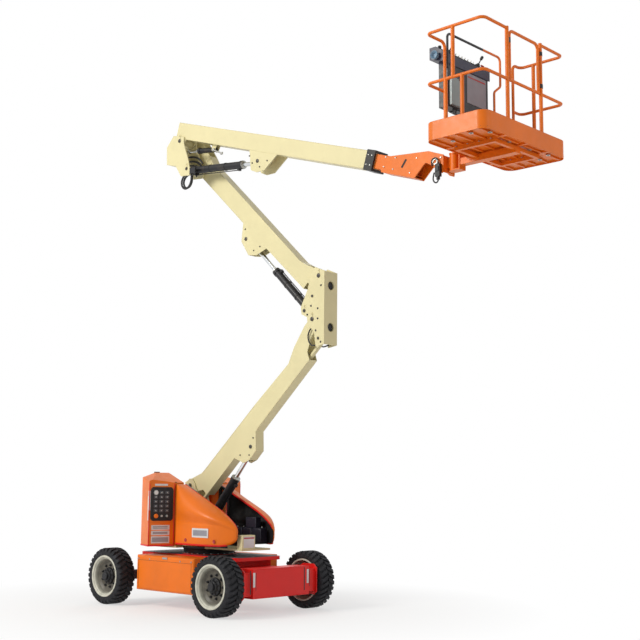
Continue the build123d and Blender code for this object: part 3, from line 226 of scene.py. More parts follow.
# Painted shade: orange enamel darkened to red, put on orange parts to paint them as their faces look in
# shade.
ORANGE_PAINTED_SHADE = enamel("orange_enamel_painted_shade", (226, 34, 30), grime=0.04)
CREAM = enamel("cream_enamel", (226, 217, 172), shade=0.94)
BLACK = enamel("black_enamel", (26, 26, 30), rough=0.42, coat=0.1, grime=0.16)
GREY = enamel("grey_enamel", (74, 76, 82), rough=0.48, coat=0.0)
TYRE = rubber("tyre_rubber")
RIM_PAINT_AND_SHADE = rim_paint_and_painted_shade()
CHROME = metal("chromed_rod", (225, 228, 230), 0.1)
ZINC = metal("zinc_plate", (176, 176, 172), 0.34)
PALE = plastic("pale_plastic", (120, 150, 175))
HOSE = plastic("hose_rubber", (20, 20, 24), 0.55, 0.35)
PLATE = plastic("blank_plate", (150, 150, 160), 0.38, 0.05)
WHITE_PLATE = plastic("blank_label", (222, 224, 226), 0.4, 0.05)
RED_PLATE = plastic("red_band", (178, 40, 44), 0.4, 0.05)
VIOLET = plastic("battery_case", (44, 42, 56), 0.4)
# Near-black: the own colour of the black panels and desk, and painted shade where it stands for the dark
# inside of the hoods, holes, vents and openings.
BLACK_AND_PAINTED_SHADE = plastic("near_black_and_painted_shade", (14, 14, 17), 0.7, 0.4)
# Painted reflection: a pale blue-grey plastic stands in for the bright reflection of the silver document box.
SILVER_PAINTED_REFLECTION = plastic("document_box", (150, 168, 170), 0.35, 0.05)
DARK = metal("blackened_steel", (84, 82, 80), 0.42)

FINISH = {"orange": ORANGE, "cream": CREAM, "black": BLACK, "rubber": TYRE, "chrome": CHROME, "grey": GREY}
for row in frame["record"]["subparts"]:
    node = nodes[row["node"]]
    node.data.materials.clear()
    node.data.materials.append(FINISH[row["material_slot"]])
# Painted shade: the orange chassis frame and drive axle beam take the red painted-shade enamel.
for name in ("drive_axle_beam", "chassis_frame"):
    nodes[name].data.materials[0] = ORANGE_PAINTED_SHADE

# ------------------------------------------------------------------ geometry


class Shape:
    """Gathers simple forms, in metres in the row's frame, into one mesh piece."""

    def __init__(self):
        self.bm = bmesh.new()

    def ring(self, profile, origin, axis, steps=48, closed=True):
        """A profile of (radius, distance along the axis), turned about the axis."""
        turn = Vector((0, 0, 1)).rotation_difference(Vector(axis).normalized()).to_matrix()
        rows = []
        for r, t in profile:
            rows.append([self.bm.verts.new(turn @ Vector((r * cos(a), r * sin(a), t)) + Vector(origin))
                         for a in around(steps)])
        pairs = list(zip(rows, rows[1:]))
        if closed:
            pairs.append((rows[-1], rows[0]))
        for low, high in pairs:
            for i in range(steps):
                j = (i + 1) % steps
                self.bm.faces.new((low[i], low[j], high[j], high[i]))
        if not closed:
            for cap in (rows[0], rows[-1]):
                self.bm.faces.new(cap)
        return self

    def plug(self, profile, origin, axis, steps):
        """A turned form with a flat cap at both ends."""
        return self.ring(profile, origin, axis, steps, closed=False)

    def washer(self, inner, outer, low, high, origin, axis, steps):
        """A square ring between two radii and two distances along the axis."""
        return self.ring([(inner, low), (outer, low), (outer, high), (inner, high)], origin, axis, steps)

    def bar(self, a, b, r, steps=24):
        """A round bar with slightly broken edges."""
        a, b = Vector(a), Vector(b)
        length = (b - a).length
        e = min(r * 0.12, length * 0.2)
        return self.plug([(r - e, 0), (r, e), (r, length - e), (r - e, length)], a, b - a, steps)

    def hexagon(self, at, axis, r, height):
        axis = Vector(axis).normalized()
        profile = [(r * 0.98, 0), (r, height * 0.15), (r, height * 0.8), (r * 0.86, height)]
        return self.plug(profile, at, axis, 6)

    def box(self, a, b, turn=None):
        """A box between two opposite corners, whichever way round they are."""
        low, high = Vector(map(min, a, b)), Vector(map(max, a, b))
        size, middle = high - low, (low + high) / 2
        place = Matrix.Translation(middle) @ (turn or Matrix.Identity(4)) @ Matrix.Diagonal((*size, 1))
        bmesh.ops.create_cube(self.bm, size=1.0, matrix=place)
        return self

    def boxes(self, *corners):
        for a, b in corners:
            self.box(a, b)
        return self

    def prism(self, outline, low, high, to_point):
        """A flat outline drawn out between two distances; to_point maps (u, v, distance) to the frame."""
        rows = [[self.bm.verts.new(to_point(u, v, d)) for u, v in outline] for d in (low, high)]
        count = len(outline)
        for i in range(count):
            j = (i + 1) % count
            self.bm.faces.new((rows[0][i], rows[0][j], rows[1][j], rows[1][i]))
        for row in rows:
            self.bm.faces.new(row)
        return self

    def plate(self, u0, v0, u1, v1, low, high, to_point, round_by=None, steps=3):
        """A flat plate on a face; round_by is the radius of its corners."""
        square = [(u0, v0), (u1, v0), (u1, v1), (u0, v1)]
        outline = rounded(u0, v0, u1, v1, round_by, steps) if round_by else square
        return self.prism(outline, low, high, to_point)

    def loft(self, rows, closed=True, caps=True):
        """Quads between rows of points; closed joins each row's ends."""
        made = [[self.bm.verts.new(p) for p in row] for row in rows]
        for low, high in zip(made, made[1:]):
            for i in range(len(low) - (0 if closed else 1)):
                j = (i + 1) % len(low)
                self.bm.faces.new((low[i], low[j], high[j], high[i]))
        if closed and caps:
            self.bm.faces.new(made[0])
            self.bm.faces.new(made[-1])
        return self

    def object(self, name):
        bmesh.ops.recalc_face_normals(self.bm, faces=self.bm.faces)
        mesh = bpy.data.meshes.new(name)
        self.bm.to_mesh(mesh)
        self.bm.free()
        piece = bpy.data.objects.new(name, mesh)
        scene.collection.objects.link(piece)
        return piece

    def make(self, name, body, material, slot=None, bevel=0.0, angle=35, solid=0.0, smooth=0):
        piece = self.object(name)
        piece.data.materials.append(material)
        if solid:
            wall = piece.modifiers.new("wall", "SOLIDIFY")
            wall.thickness = solid
            wall.offset = -1
        if smooth:
            finer = piece.modifiers.new("smooth", "SUBSURF")
            finer.levels = finer.render_levels = smooth
        if bevel:
            edge = piece.modifiers.new("edge", "BEVEL")
            edge.width = bevel
            edge.segments = 2
            edge.limit_method = "ANGLE"
            edge.angle_limit = radians(30)
        for polygon in piece.data.polygons:
            polygon.use_smooth = True
        piece.data.set_sharp_from_angle(angle=radians(angle))
        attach(piece, body)
        return piece


def hose(name, points, radius, body):
    """A smooth round hose along a few points."""
    curve = bpy.data.curves.new(name, "CURVE")
    curve.dimensions = "3D"
    curve.bevel_depth = radius
    curve.bevel_resolution = 3
    curve.resolution_u = 10
    spline = curve.splines.new("NURBS")
    spline.points.add(len(points) - 1)
    for point, place in zip(spline.points, points):
        point.co = (*place, 1.0)
    spline.order_u = 3
    spline.use_endpoint_u = True
    curve.use_fill_caps = True
    curve.materials.append(HOSE)
    piece = bpy.data.objects.new(name, curve)
    scene.collection.objects.link(piece)
    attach(piece, body)


def hose_across(name, y, points, radius, body):
    """A hose that stays at one distance across the machine."""
    hose(name, [(x, y, z) for x, z in points], radius, body)


class Face:
    """A flat face of the machine: u along it, v up, d out of it."""

    def __init__(self, origin, along):
        self.origin = Vector(origin)
        self.u = Vector(along).normalized()
        self.v = Vector((0, 0, 1))
        self.out = self.u.cross(self.v)

    def __call__(self, u, v, d):
        return self.origin + self.u * u + self.v * v + self.out * d


def rounded(u0, v0, u1, v1, r, steps=5):
    """A rectangle's outline with round corners."""
    points = []
    corners = (u1 - r, v1 - r, 0), (u0 + r, v1 - r, 90), (u0 + r, v0 + r, 180), (u1 - r, v0 + r, 270)
    for cu, cv, start in corners:
        for i in range(steps + 1):
            a = radians(start + 90 * i / steps)
            points.append((cu + r * cos(a), cv + r * sin(a)))
    return points


def add_knob(shape, face, u, v, r, height, base=0.0, steps=20):
    profile = [(r, base), (r, base + height * 0.7), (r * 0.85, base + height)]
    shape.plug(profile, face(u, v, 0), face.out, steps)


# ------------------------------------------------------------------ the machine's main places, in metres
TOWER_Y, MAIN_Y = 0.11, -0.13
LOWER_PIVOT, UPRIGHT_PIVOT = (-0.42, 1.48), (1.74, 3.44)
MID_PIVOT, KNUCKLE_PIVOT = (1.84, 3.95), (-0.556, 6.125)
MAIN_PIVOT, MAIN_ANGLE = (-0.495, 6.013), radians(-17.4)
LOWER_LIFT_FOOT, MID_LIFT_FOOT, MAIN_LIFT_FOOT = (-0.305, 0.819), (1.61, 3.552), (-0.338, 5.604)
LOWER_LIFT_EYE, MID_LIFT_EYE, MAIN_LIFT_EYE = (1.129, -0.379), (1.403, -0.416), (1.586, -0.083)


def along_line(pivot, angle, side):
    """Places on a boom: along it, above its line of pins, and across the machine."""
    def at(along, above, y):
        x = pivot[0] + side * (along * cos(angle) - above * sin(angle))
        return Vector((x, y, pivot[1] + along * sin(angle) + above * cos(angle)))
    return at


def climb(low, high):
    return atan2(high[1] - low[1], abs(high[0] - low[0]))


lower_at = along_line(LOWER_PIVOT, climb(LOWER_PIVOT, UPRIGHT_PIVOT), 1)
mid_at = along_line(MID_PIVOT, climb(MID_PIVOT, KNUCKLE_PIVOT), -1)
main_at = along_line(MAIN_PIVOT, MAIN_ANGLE, 1)

# ------------------------------------------------------------------ wheels
HALF_W = 0.12
SIDEWALL = [(0.2458, 0.098), (0.262, 0.1165), (0.286, 0.1175), (0.3, 0.115), (0.318, 0.107), (0.3255, 0.09),
            (0.3275, 0.03)]
CARCASS = [(r, -t) for r, t in SIDEWALL] + SIDEWALL[::-1]
LUG = [((0.3465, 0.006), (0.315, 0.006)), ((0.3465, 0.08), (0.315, 0.08)), ((0.3425, 0.1), (0.312, 0.092)),
       ((0.331, 0.114), (0.306, 0.099)), ((0.303, 0.1195), (0.294, 0.106))]
LUGS = 30
RIM = [(0.1, 0.03), (0.168, 0.03), (0.196, 0.048), (0.206, 0.074), (0.214, 0.092), (0.226, 0.1), (0.23, 0.11),
       (0.24, 0.1155), (0.251, 0.1155), (0.2555, 0.111), (0.2545, 0.103), (0.2448, 0.095), (0.2448, -0.095),
       (0.2545, -0.103), (0.2545, -0.11), (0.236, -0.112), (0.231, -0.095), (0.229, 0.05), (0.205, 0.03),
       (0.17, 0.014), (0.1, 0.014)]


def wheel(axle, hand, x, side):
    centre = Vector((x, side * WHEEL_Y, WHEEL_R))
    body = f"{axle}_wheel_{hand}"

    def on_wheel(r, t, angle):
        return centre + Vector((r * cos(angle), t, r * sin(angle)))

    tyre = Shape().ring(CARCASS, centre, (0, 1, 0), 90)
    for index in range(LUGS * 2):
        half = 1 if index % 2 else -1
        phase = pi * index / LUGS
        rows = []
        for (r_out, t_out), (r_in, t_in) in LUG:
            lean = 0.16 * (1 - t_out / HALF_W)
            a, b = phase + lean - 0.058, phase + lean + 0.058
            rows.append([on_wheel(r_in, half * t_in, a - 0.014), on_wheel(r_out, half * t_out, a),
                         on_wheel(r_out, half * t_out, b), on_wheel(r_in, half * t_in, b + 0.014)])
        tyre.loft(rows)
    piece = tyre.make(f"{axle}_lugged_tyre_{hand}", body, TYRE, "rubber", angle=40)
    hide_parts(f"{axle}_tyre_{hand}")
    for t in (1, -1):
        profile = [(0.274, t * 0.116), (0.276, t * 0.1185), (0.284, t * 0.1185), (0.286, t * 0.116)]
        band = Shape().ring(profile, centre, (0, 1, 0), 90)
        band.make(f"{axle}_sidewall_band_{hand}_{'outer' if t == side else 'inner'}", body, TYRE, "rubber")
    outward = (0, side, 0)
    rim = Shape().ring(RIM, centre, outward, 72)
    piece = rim.make(f"{axle}_dished_rim_{hand}", body, RIM_PAINT_AND_SHADE, "cream", bevel=0.0015)
    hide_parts(f"{axle}_rim_{hand}")
    hub = Shape().ring([(0.036, -0.016), (0.104, -0.016), (0.104, 0.04), (0.098, 0.052), (0.074, 0.058),
                        (0.068, 0.08), (0.062, 0.086), (0.036, 0.086)], centre, outward, 64)
    hub.plug([(0.0325, 0.066), (0.05, 0.066), (0.05, 0.104), (0.044, 0.111)], centre, outward, 48)
    hub.make(f"{axle}_hub_{hand}", body, BLACK, "black", bevel=0.001)
    nuts = Shape()
    for angle in around(9):
        spot = on_wheel(0.134, side * 0.029, angle)
        nuts.plug([(0.018, 0), (0.018, 0.004)], spot, outward, 20)
        nuts.hexagon(spot, outward, 0.014, 0.018)
        nuts.bar(spot, spot + Vector((0, side * 0.028, 0)), 0.007, 12)
        nuts.hexagon(on_wheel(0.085, side * 0.054, angle + 0.2), outward, 0.009, 0.012)
    for angle in (0.3, 2.4, 4.5):
        nuts.hexagon(on_wheel(0.028, side * 0.11, angle), outward, 0.007, 0.0018)
    nuts.make(f"{axle}_wheel_nuts_{hand}", body, BLACK, "black", angle=25)


for axle, x in (("drive", WHEEL_X), ("steer", -WHEEL_X)):
    for hand, side in (("left", 1), ("right", -1)):
        wheel(axle, hand, x, side)

# ------------------------------------------------------------------ chassis
chassis = Shape()
for side in (1, -1):
    for x in (-0.52, -0.31, 0.27, 0.47):
        chassis.hexagon((x, side * 0.695, 0.585), (0, side, 0), 0.01, 0.006)
    chassis.box((-0.06, side * 0.69, 0.595), (0.03, side * 0.703, 0.618))
for angle in around(24, 0.5):
    chassis.hexagon((0.325 * cos(angle), 0.325 * sin(angle), 0.648), (0, 0, 1), 0.011, 0.01)
chassis.make("chassis_fasteners", "chassis", ZINC, angle=25)

seams = Shape()
for side in (1, -1):
    for x in (-0.522, 0.471):
        seams.box((x - 0.002, side * 0.694, 0.235), (x + 0.002, side * 0.6958, 0.6))
    seams.box((-0.52, side * 0.694, 0.566), (0.47, side * 0.6958, 0.569))
seams.make("battery_box_seams", "chassis", BLACK, "black")

deck = Shape().plate(-0.895, -0.365, 0.895, 0.365, 0.64, 0.6424, lambda u, v, d: Vector((u, v, d)), 0.095, 6)
deck.make("deck_tread", "chassis", GREY, "grey", bevel=0.001)

painted_slots, strips = Shape(), Shape()
for y in (-0.445, 0.438):
    strips.box((1.284, y - 0.016, 0.337), (1.2885, y + 0.016, 0.5))
    # Painted shade: thin black plates on the beam's face stand for the slots, whose insides are in shade.
    painted_slots.boxes(((1.284, y - 0.062, 0.258), (1.2862, y - 0.048, 0.525)),
                ((1.284, y + 0.028, 0.3), (1.2862, y + 0.034, 0.5)))
strips.make("beam_pale_strips", "chassis", WHITE_PLATE, bevel=0.001)
painted_slots.make("beam_slots_painted_shade", "chassis", BLACK, "black")
beam = Shape()
for y in (-0.36, -0.12, 0.12, 0.36):
    beam.box((1.075, y - 0.006, 0.215), (1.272, y + 0.006, 0.3))
for z in (0.213, 0.527):
    beam.box((1.2845, -0.4, z - 0.004), (1.2875, 0.39, z + 0.004))
# Painted shade: the ribs on the beam's shaded front take the red painted-shade enamel.
beam.make("beam_ribs", "chassis", ORANGE_PAINTED_SHADE, bevel=0.0015)
bolts = Shape()
for side in (1, -1):
    for x, z in ((1.215, 0.5), (1.245, 0.26), (0.905, 0.42), (0.905, 0.29)):
        bolts.hexagon((x, side * 0.604, z), (0, side, 0), 0.012, 0.008)
    for angle in around(10):
        spot = (WHEEL_X + 0.097 * cos(angle), side * 0.604, WHEEL_R + 0.097 * sin(angle))
        bolts.hexagon(spot, (0, side, 0), 0.008, 0.008)
bolts.make("motor_flange_bolts", "chassis", ZINC, angle=25)

# ------------------------------------------------------------------ hoods: a crowned top, a flat lower panel
HINGE_Y = 0.29
HOOD_ROWS = [  # x, crest y, crest z, ridge y, ridge z, recess y, panel top z, panel y, bottom z, squareness
    (-0.15, 0.405, 1.496, 0.437, 1.215, 0.437, 1.03, 0.437, 0.764, 6.0),
    (-0.12, 0.385, 1.483, 0.455, 1.212, 0.449, 1.028, 0.456, 0.764, 4.0),
    (-0.06, 0.362, 1.456, 0.508, 1.204, 0.484, 1.026, 0.5, 0.764, 2.7),
    (0.08, 0.35, 1.394, 0.53, 1.18, 0.487, 1.024, 0.505, 0.764, 2.1),
    (0.24, 0.34, 1.322, 0.533, 1.152, 0.49, 1.024, 0.504, 0.764, 1.9),
    (0.4, 0.33, 1.25, 0.526, 1.118, 0.488, 1.022, 0.498, 0.764, 1.9),
    (0.55, 0.322, 1.18, 0.5, 1.082, 0.474, 1.016, 0.478, 0.764, 1.9),
    (0.66, 0.314, 1.118, 0.45, 1.048, 0.437, 1.004, 0.438, 0.764, 2.0),
    (0.735, 0.308, 1.066, 0.4, 1.01, 0.393, 0.984, 0.393, 0.772, 2.2),
    (0.79, 0.302, 1.022, 0.358, 0.978, 0.354, 0.962, 0.354, 0.792, 2.4),
    (0.822, 0.299, 0.982, 0.332, 0.95, 0.33, 0.938, 0.33, 0.822, 2.4),
    (0.838, 0.297, 0.948, 0.314, 0.926, 0.313, 0.918, 0.313, 0.854, 2.4)]
HEM = (-0.03, -0.001), (-0.004, -0.001), (0.002, 0.008), (0.002, 0.02), (-0.01, 0.02)
EDGE = (-0.001, -0.02), (0.004, -0.02), (0.006, 0.003), (-0.001, 0.003)


def hood_section(row, side):
    x, crest_y, crest_z, ridge_y, ridge_z, recess_y, top, panel_y, low, power = row
    points = [(HINGE_Y, crest_z - 0.003), ((HINGE_Y + crest_y) / 2, crest_z)]
    for step in range(9):
        angle = radians(90 * step / 8)
        out, up = sin(angle) ** (2 / power), max(cos(angle), 0) ** (2 / power)
        points.append((crest_y + (ridge_y - crest_y) * out, ridge_z + (crest_z - ridge_z) * up))
    points += [(ridge_y - (ridge_y - recess_y) * 0.45, ridge_z - (ridge_z - top) * 0.45),
               (recess_y, top + (ridge_z - top) * 0.1), (panel_y, top - 0.01), (panel_y, top - 0.03),
               (panel_y, (top + low) / 2), (panel_y, low + 0.04), (panel_y - 0.003, low + 0.018),
               (panel_y - 0.018, low + 0.002)]
    return [Vector((x, side * y, z)) for y, z in points]


for hand, side in (("right", -1), ("left", 1)):
    body = f"hood_{hand}"
    rows = [hood_section(row, side) for row in HOOD_ROWS]
    nose = rows[-1]
    tip = [Vector((0.842, side * 0.298, 0.9 + (p.z - 0.9) * 0.6)) for p in nose]
    shell = Shape().loft(rows, closed=False).loft([nose, tip], closed=False)
    piece = shell.make(f"hood_shell_{hand}", body, ORANGE, "orange", solid=0.006, smooth=2, angle=60)
    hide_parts(f"hood_{hand}")
    # Painted shade: the shell's inner faces take the near-black, for the shade under the hood.
    piece.data.materials.append(BLACK_AND_PAINTED_SHADE)
    piece.modifiers["wall"].material_offset = 1
    # Painted shade: the orange hem takes the red painted-shade enamel, as its underside looks in shade.
    hem = Shape().loft([[Vector((row[0], side * (row[7] + y), row[8] + z)) for y, z in HEM]
                        for row in HOOD_ROWS[:9]])
    hem.make(f"hood_hem_{hand}", body, ORANGE_PAINTED_SHADE, "orange", bevel=0.001)
    # Painted shade: the orange top edge takes the red painted-shade enamel.
    rim = Shape().loft([[Vector((row[0], side * (HINGE_Y + y), row[2] - 0.003 + z)) for y, z in EDGE]
                        for row in HOOD_ROWS[:-1]])
    rim.make(f"hood_edge_{hand}", body, ORANGE_PAINTED_SHADE, "orange", bevel=0.001)
    ends = Vector((0.247, side * 0.504, 0)), Vector((0.52, side * 0.4855, 0))
    start, end = ends if side < 0 else ends[::-1]
    panel = Face(start, end - start)
    label = Shape().plate(0.0, 0.862, 0.2735, 0.972, -0.003, 0.0022, panel, 0.006)
    label.make(f"hood_plate_{hand}", body, WHITE_PLATE, bevel=0.0008)
    label = Shape().plate(0.02, 0.884, 0.2535, 0.95, 0.0018, 0.003, panel, 0.004)
    label.make(f"hood_plate_blank_{hand}", body, PLATE)
    pulls = Shape()
    for x, y, z in ((0.131, 0.5045, 0.825), (0.6, 0.4625, 0.823)):
        pulls.plug([(0.022, 0), (0.022, 0.003), (0.016, 0.0032), (0.013, 0.0012)], (x, side * y, z),
                   (0, side, 0), 24)
        pulls.box((x - 0.012, side * y, z - 0.003), (x + 0.012, side * (y + 0.003), z + 0.003))
    pulls.make(f"hood_latches_{hand}", body, RED_PLATE)

# ------------------------------------------------------------------ tail cowls and the ground control panel
side_face = Face((-0.275, -0.76, 0.0), (0.095, 0.33, 0.0))    # towards +X, with the panel
outer_face = Face((-0.565, -0.64, 0.0), (0.29, -0.12, 0.0))   # towards -Y
PANEL = u0, v0, u1, v1 = (0.022, 1.046, 0.318, 1.456)
METER, STOP = (0.085, 1.39), (0.085, 1.105)

panel = Shape().plate(*PANEL, -0.004, 0.012, side_face, 0.04, 5)
panel.make("ground_panel", "turntable", BLACK_AND_PAINTED_SHADE, "black", bevel=0.002)
frame_ring = Shape()
for edge in ((u0 + 0.03, v0 + 0.005, u1 - 0.03, v0 + 0.013), (u0 + 0.03, v1 - 0.013, u1 - 0.03, v1 - 0.005),
             (u0 + 0.005, v0 + 0.03, u0 + 0.013, v1 - 0.03), (u1 - 0.013, v0 + 0.03, u1 - 0.005, v1 - 0.03)):
    frame_ring.plate(*edge, 0.01, 0.019, side_face)
frame_ring.make("ground_panel_frame", "turntable", BLACK, "black", bevel=0.002)
fields, toggles = Shape(), Shape()
for index in range(5):
    for column in range(3):
        u, v = 0.085 + 0.075 * column, 1.17 + 0.055 * index
        fields.plate(u - 0.026, v - 0.018, u + 0.026, v + 0.018, 0.01, 0.0135, side_face, 0.005)
        if (index, column) != (4, 0):   # where the meter is
            add_knob(toggles, side_face, u, v, 0.008, 0.006, 0.013)
            spot = side_face(u, v, 0.015)
            lean = Vector((0, 0, 0.007 if (index + column) % 2 else -0.007))
            toggles.bar(spot, spot + side_face.out * 0.022 + lean, 0.0035, 10)
fields.make("ground_panel_fields", "turntable", GREY, "grey", bevel=0.0008)
toggles.make("ground_panel_toggles", "turntable", ZINC, angle=30)
dial = Shape()
add_knob(dial, side_face, *METER, 0.026, 0.008, 0.012, 32)
dial.make("ground_panel_meter", "turntable", WHITE_PLATE)
ring = Shape().washer(0.025, 0.03, 0, 0.01, side_face(*METER, 0.012), side_face.out, 32)
ring.make("ground_panel_meter_ring", "turntable", ZINC)
stop = Shape()
add_knob(stop, side_face, *STOP, 0.012, 0.016, 0.012)
add_knob(stop, side_face, *STOP, 0.027, 0.018, 0.026, 28)
stop.make("ground_panel_stop_knob", "turntable", ORANGE, "orange", bevel=0.003)
keys = Shape()
for u in (0.165, 0.235):
    add_knob(keys, side_face, u, 1.105, 0.014, 0.01, 0.012, 24)
keys.plate(0.232, 1.09, 0.238, 1.118, 0.02, 0.036, side_face)
keys.make("ground_panel_keys", "turntable", ZINC, angle=30)

labels = Shape()
for edges, face in (((0.075, 1.472, 0.245, 1.496), side_face), ((0.04, 0.936, 0.28, 0.994), side_face),
                    ((0.04, 0.872, 0.28, 0.926), side_face), ((0.04, 0.775, 0.28, 0.86), side_face),
                    ((0.002, 1.172, 0.019, 1.412), side_face), ((0.292, 1.172, 0.312, 1.412), outer_face)):
    labels.plate(*edges, -0.001, 0.0018, face, 0.004, 2)
labels.make("cowl_blank_labels", "turntable", WHITE_PLATE)
greys = Shape()
for edges in ((0.06, 0.95, 0.255, 0.958), (0.06, 0.966, 0.255, 0.98), (0.06, 0.886, 0.255, 0.912),
              (0.052, 0.79, 0.266, 0.846)):
    greys.plate(*edges, 0.001, 0.0026, side_face)
greys.make("cowl_label_fields", "turntable", PLATE)

trim = Shape()
for hand in (1, -1):
    def mirrored(face, sign=hand):
        return lambda u, v, d: Vector((face(u, v, d).x, face(u, v, d).y * sign, face(u, v, d).z))
    for face, reach in ((side_face, 0.343), (outer_face, 0.314)):
        trim.plate(0, 0.738, reach, 0.758, -0.002, 0.004, mirrored(face))
    for u in (0, 0.331):
        trim.plate(u, 0.76, u + 0.012, 1.5, -0.003, 0.003, mirrored(side_face))
# Painted shade: the orange hems take the red painted-shade enamel.
trim.make("cowl_hems", "turntable", ORANGE_PAINTED_SHADE, "orange", bevel=0.0015)
cap = Shape()
for side in (1, -1):
    cap.boxes(((-0.53, side * 0.43, 1.614), (-0.49, side * 0.49, 1.646)),
              ((-0.205, side * 0.4, 1.5), (-0.182, side * 0.43, 1.52)))
    for z in (0.86, 1.14, 1.42):
        cap.hexagon((-0.632, side * 0.45, z), (-1, 0, 0), 0.01, 0.006)
cap.make("cowl_fittings", "turntable", BLACK, "black", bevel=0.003)
skirt = Shape().ring([(0.3, 0.6635), (0.316, 0.6635), (0.322, 0.7), (0.334, 0.714), (0.334, 0.7375),
                      (0.3305, 0.7375), (0.3305, 0.7165), (0.3, 0.7155)], (0, 0, 0), (0, 0, 1), 96)
skirt.make("slew_skirt", "turntable", BLACK, "black", bevel=0.002)
TAIL_R = 0.858
# Painted shade: near-black strips stand for the vent openings, whose insides are in shade.
painted_vents = Shape()
for index in range(9):
    z = 1 + 0.035 * index
    for side in (1, -1):
        painted_vents.box((-0.6325, side * 0.34, z), (-0.6285, side * 0.52, z + 0.014))
for index in range(14):
    y = -0.26 + 0.04 * index
    face = -sqrt(TAIL_R ** 2 - y * y)
    painted_vents.box((face - 0.002, y - 0.012, 0.82), (face + 0.02, y + 0.012, 0.835))
painted_vents.make("cowl_vents_painted_shade", "turntable", BLACK_AND_PAINTED_SHADE, "black", bevel=0.001)

# ------------------------------------------------------------------ between the hoods
BASE_TOP = 0.7385


def across(u, v, d):
    """A face that looks along +X: u across the machine, v up."""
    return Vector((d, u, v))


box = Shape().box((0.78, -0.255, BASE_TOP), (0.872, -0.045, 0.9))
box.make("charger_box", "turntable", CREAM, "cream", bevel=0.004)
box = Shape().plate(-0.232, 0.752, -0.062, 0.884, 0.871, 0.8735, across, 0.004, 2)
box.make("charger_blank_label", "turntable", WHITE_PLATE)
box = Shape().box((0.8732, -0.232, 0.858), (0.8745, -0.062, 0.874))
box.make("charger_label_band", "turntable", RED_PLATE)
trays = Shape()
for side, root in ((1, 0.196), (-1, 0.258)):
    trays.boxes(((0.07, side * root, BASE_TOP), (0.6, side * (root - 0.016), 0.786)),
                ((0.07, side * (root - 0.004), 0.768), (0.6, side * 0.432, 0.786)))
trays.make("component_trays", "turntable", BLACK, "black", bevel=0.002)
battery = Shape()
for x in (0.095, 0.265, 0.435):
    battery.boxes(((x, 0.305, 0.786), (x + 0.16, 0.425, 0.95)),
                  ((x + 0.008, 0.313, 0.948), (x + 0.152, 0.417, 0.962)))
battery.box((0.32, 0.312, 0.96), (0.5, 0.405, 1.09))
battery.make("battery_pack_left", "turntable", VIOLET, bevel=0.01)
posts = Shape()
for x in (0.12, 0.23, 0.29, 0.56):
    posts.bar((x, 0.365, 0.958), (x, 0.365, 0.98), 0.011, 16)
posts.make("battery_terminals", "turntable", ZINC)
pump = Shape().boxes(((0.325, -0.425, 0.8), (0.395, -0.325, 0.92)),
                     ((0.09, -0.42, 0.785), (0.395, -0.33, 0.812)))
pump.bar((0.09, -0.375, 0.862), (0.29, -0.375, 0.862), 0.07, 32)
pump.bar((0.29, -0.375, 0.862), (0.325, -0.375, 0.862), 0.054, 32)
pump.make("hydraulic_pump", "turntable", BLACK, "black", bevel=0.003)
tank = Shape().box((0.425, -0.425, 0.785), (0.585, -0.3, 0.965))
tank.bar((0.5, -0.36, 0.963), (0.5, -0.36, 0.995), 0.026, 24)
tank.make("oil_tank", "turntable", GREY, "grey", bevel=0.012)
valve = Shape().box((0.02, -0.215, BASE_TOP), (0.2, -0.075, 0.84))
for index in range(4):
    x = 0.045 + 0.043 * index
    valve.bar((x, -0.145, 0.838), (x, -0.145, 0.905), 0.015, 20)
    valve.hexagon((x, -0.076, 0.79), (0, 1, 0), 0.012, 0.014)
valve.make("valve_block", "turntable", ZINC, bevel=0.002)
for index, (x, reach) in enumerate(((0.05, -0.235), (0.09, -0.225), (0.135, -0.24), (0.175, -0.228))):
    points = [(x, -0.064, 0.79), (x, -0.045, 0.79), (x - 0.02, -0.03, 0.8), (x - 0.1, -0.02, 0.9),
              (x - 0.3, -0.005 - 0.008 * index, 1.02), (reach - 0.06, 0.0, 1.16), (reach - 0.1, 0.004, 1.24)]
    hose(f"base_hose_{index}", points, 0.0085, "turntable")
strip = Shape().plate(0.272, 1.05, 0.304, 1.345, -0.001, 0.0022, outer_face, 0.004)
strip.make("cowl_blank_strip_right", "turntable", WHITE_PLATE)

# the turntable frame's paint: cream, with painted shade on the rail under each hood: the far one black and
# the near one a dull green-grey
skin = Nodes("turntable_paint_and_shade")
shaded_rail_mask = skin.both(skin.beyond("X", -0.16), skin.beyond("Z", 0.745))
tone = skin.cloudy(2.3, 6.0, NARROW, srgb(206, 197, 156), srgb(224, 215, 170))
# Painted shade: the far rail, deep under its hood, is painted near-black.
tone = skin.mix(skin.both(shaded_rail_mask, skin.beyond("Y", 0.25)), tone, srgb(20, 20, 24))
# Painted shade: the near rail is painted a dull green-grey, the cream as it looks in shade.
tone = skin.mix(skin.both(shaded_rail_mask, skin.beyond("Y", -0.25, "LESS_THAN")), tone, srgb(112, 116, 100))
skin.put("Specular IOR Level", 0.3)
nodes["turntable_frame"].data.materials[0] = skin.coat(
    tone, skin.cloudy(14.0, 6.0, WIDE, 0.36, 0.48), skin.noise(420.0, 2.0), 0.06, 0.0006, 0.004)

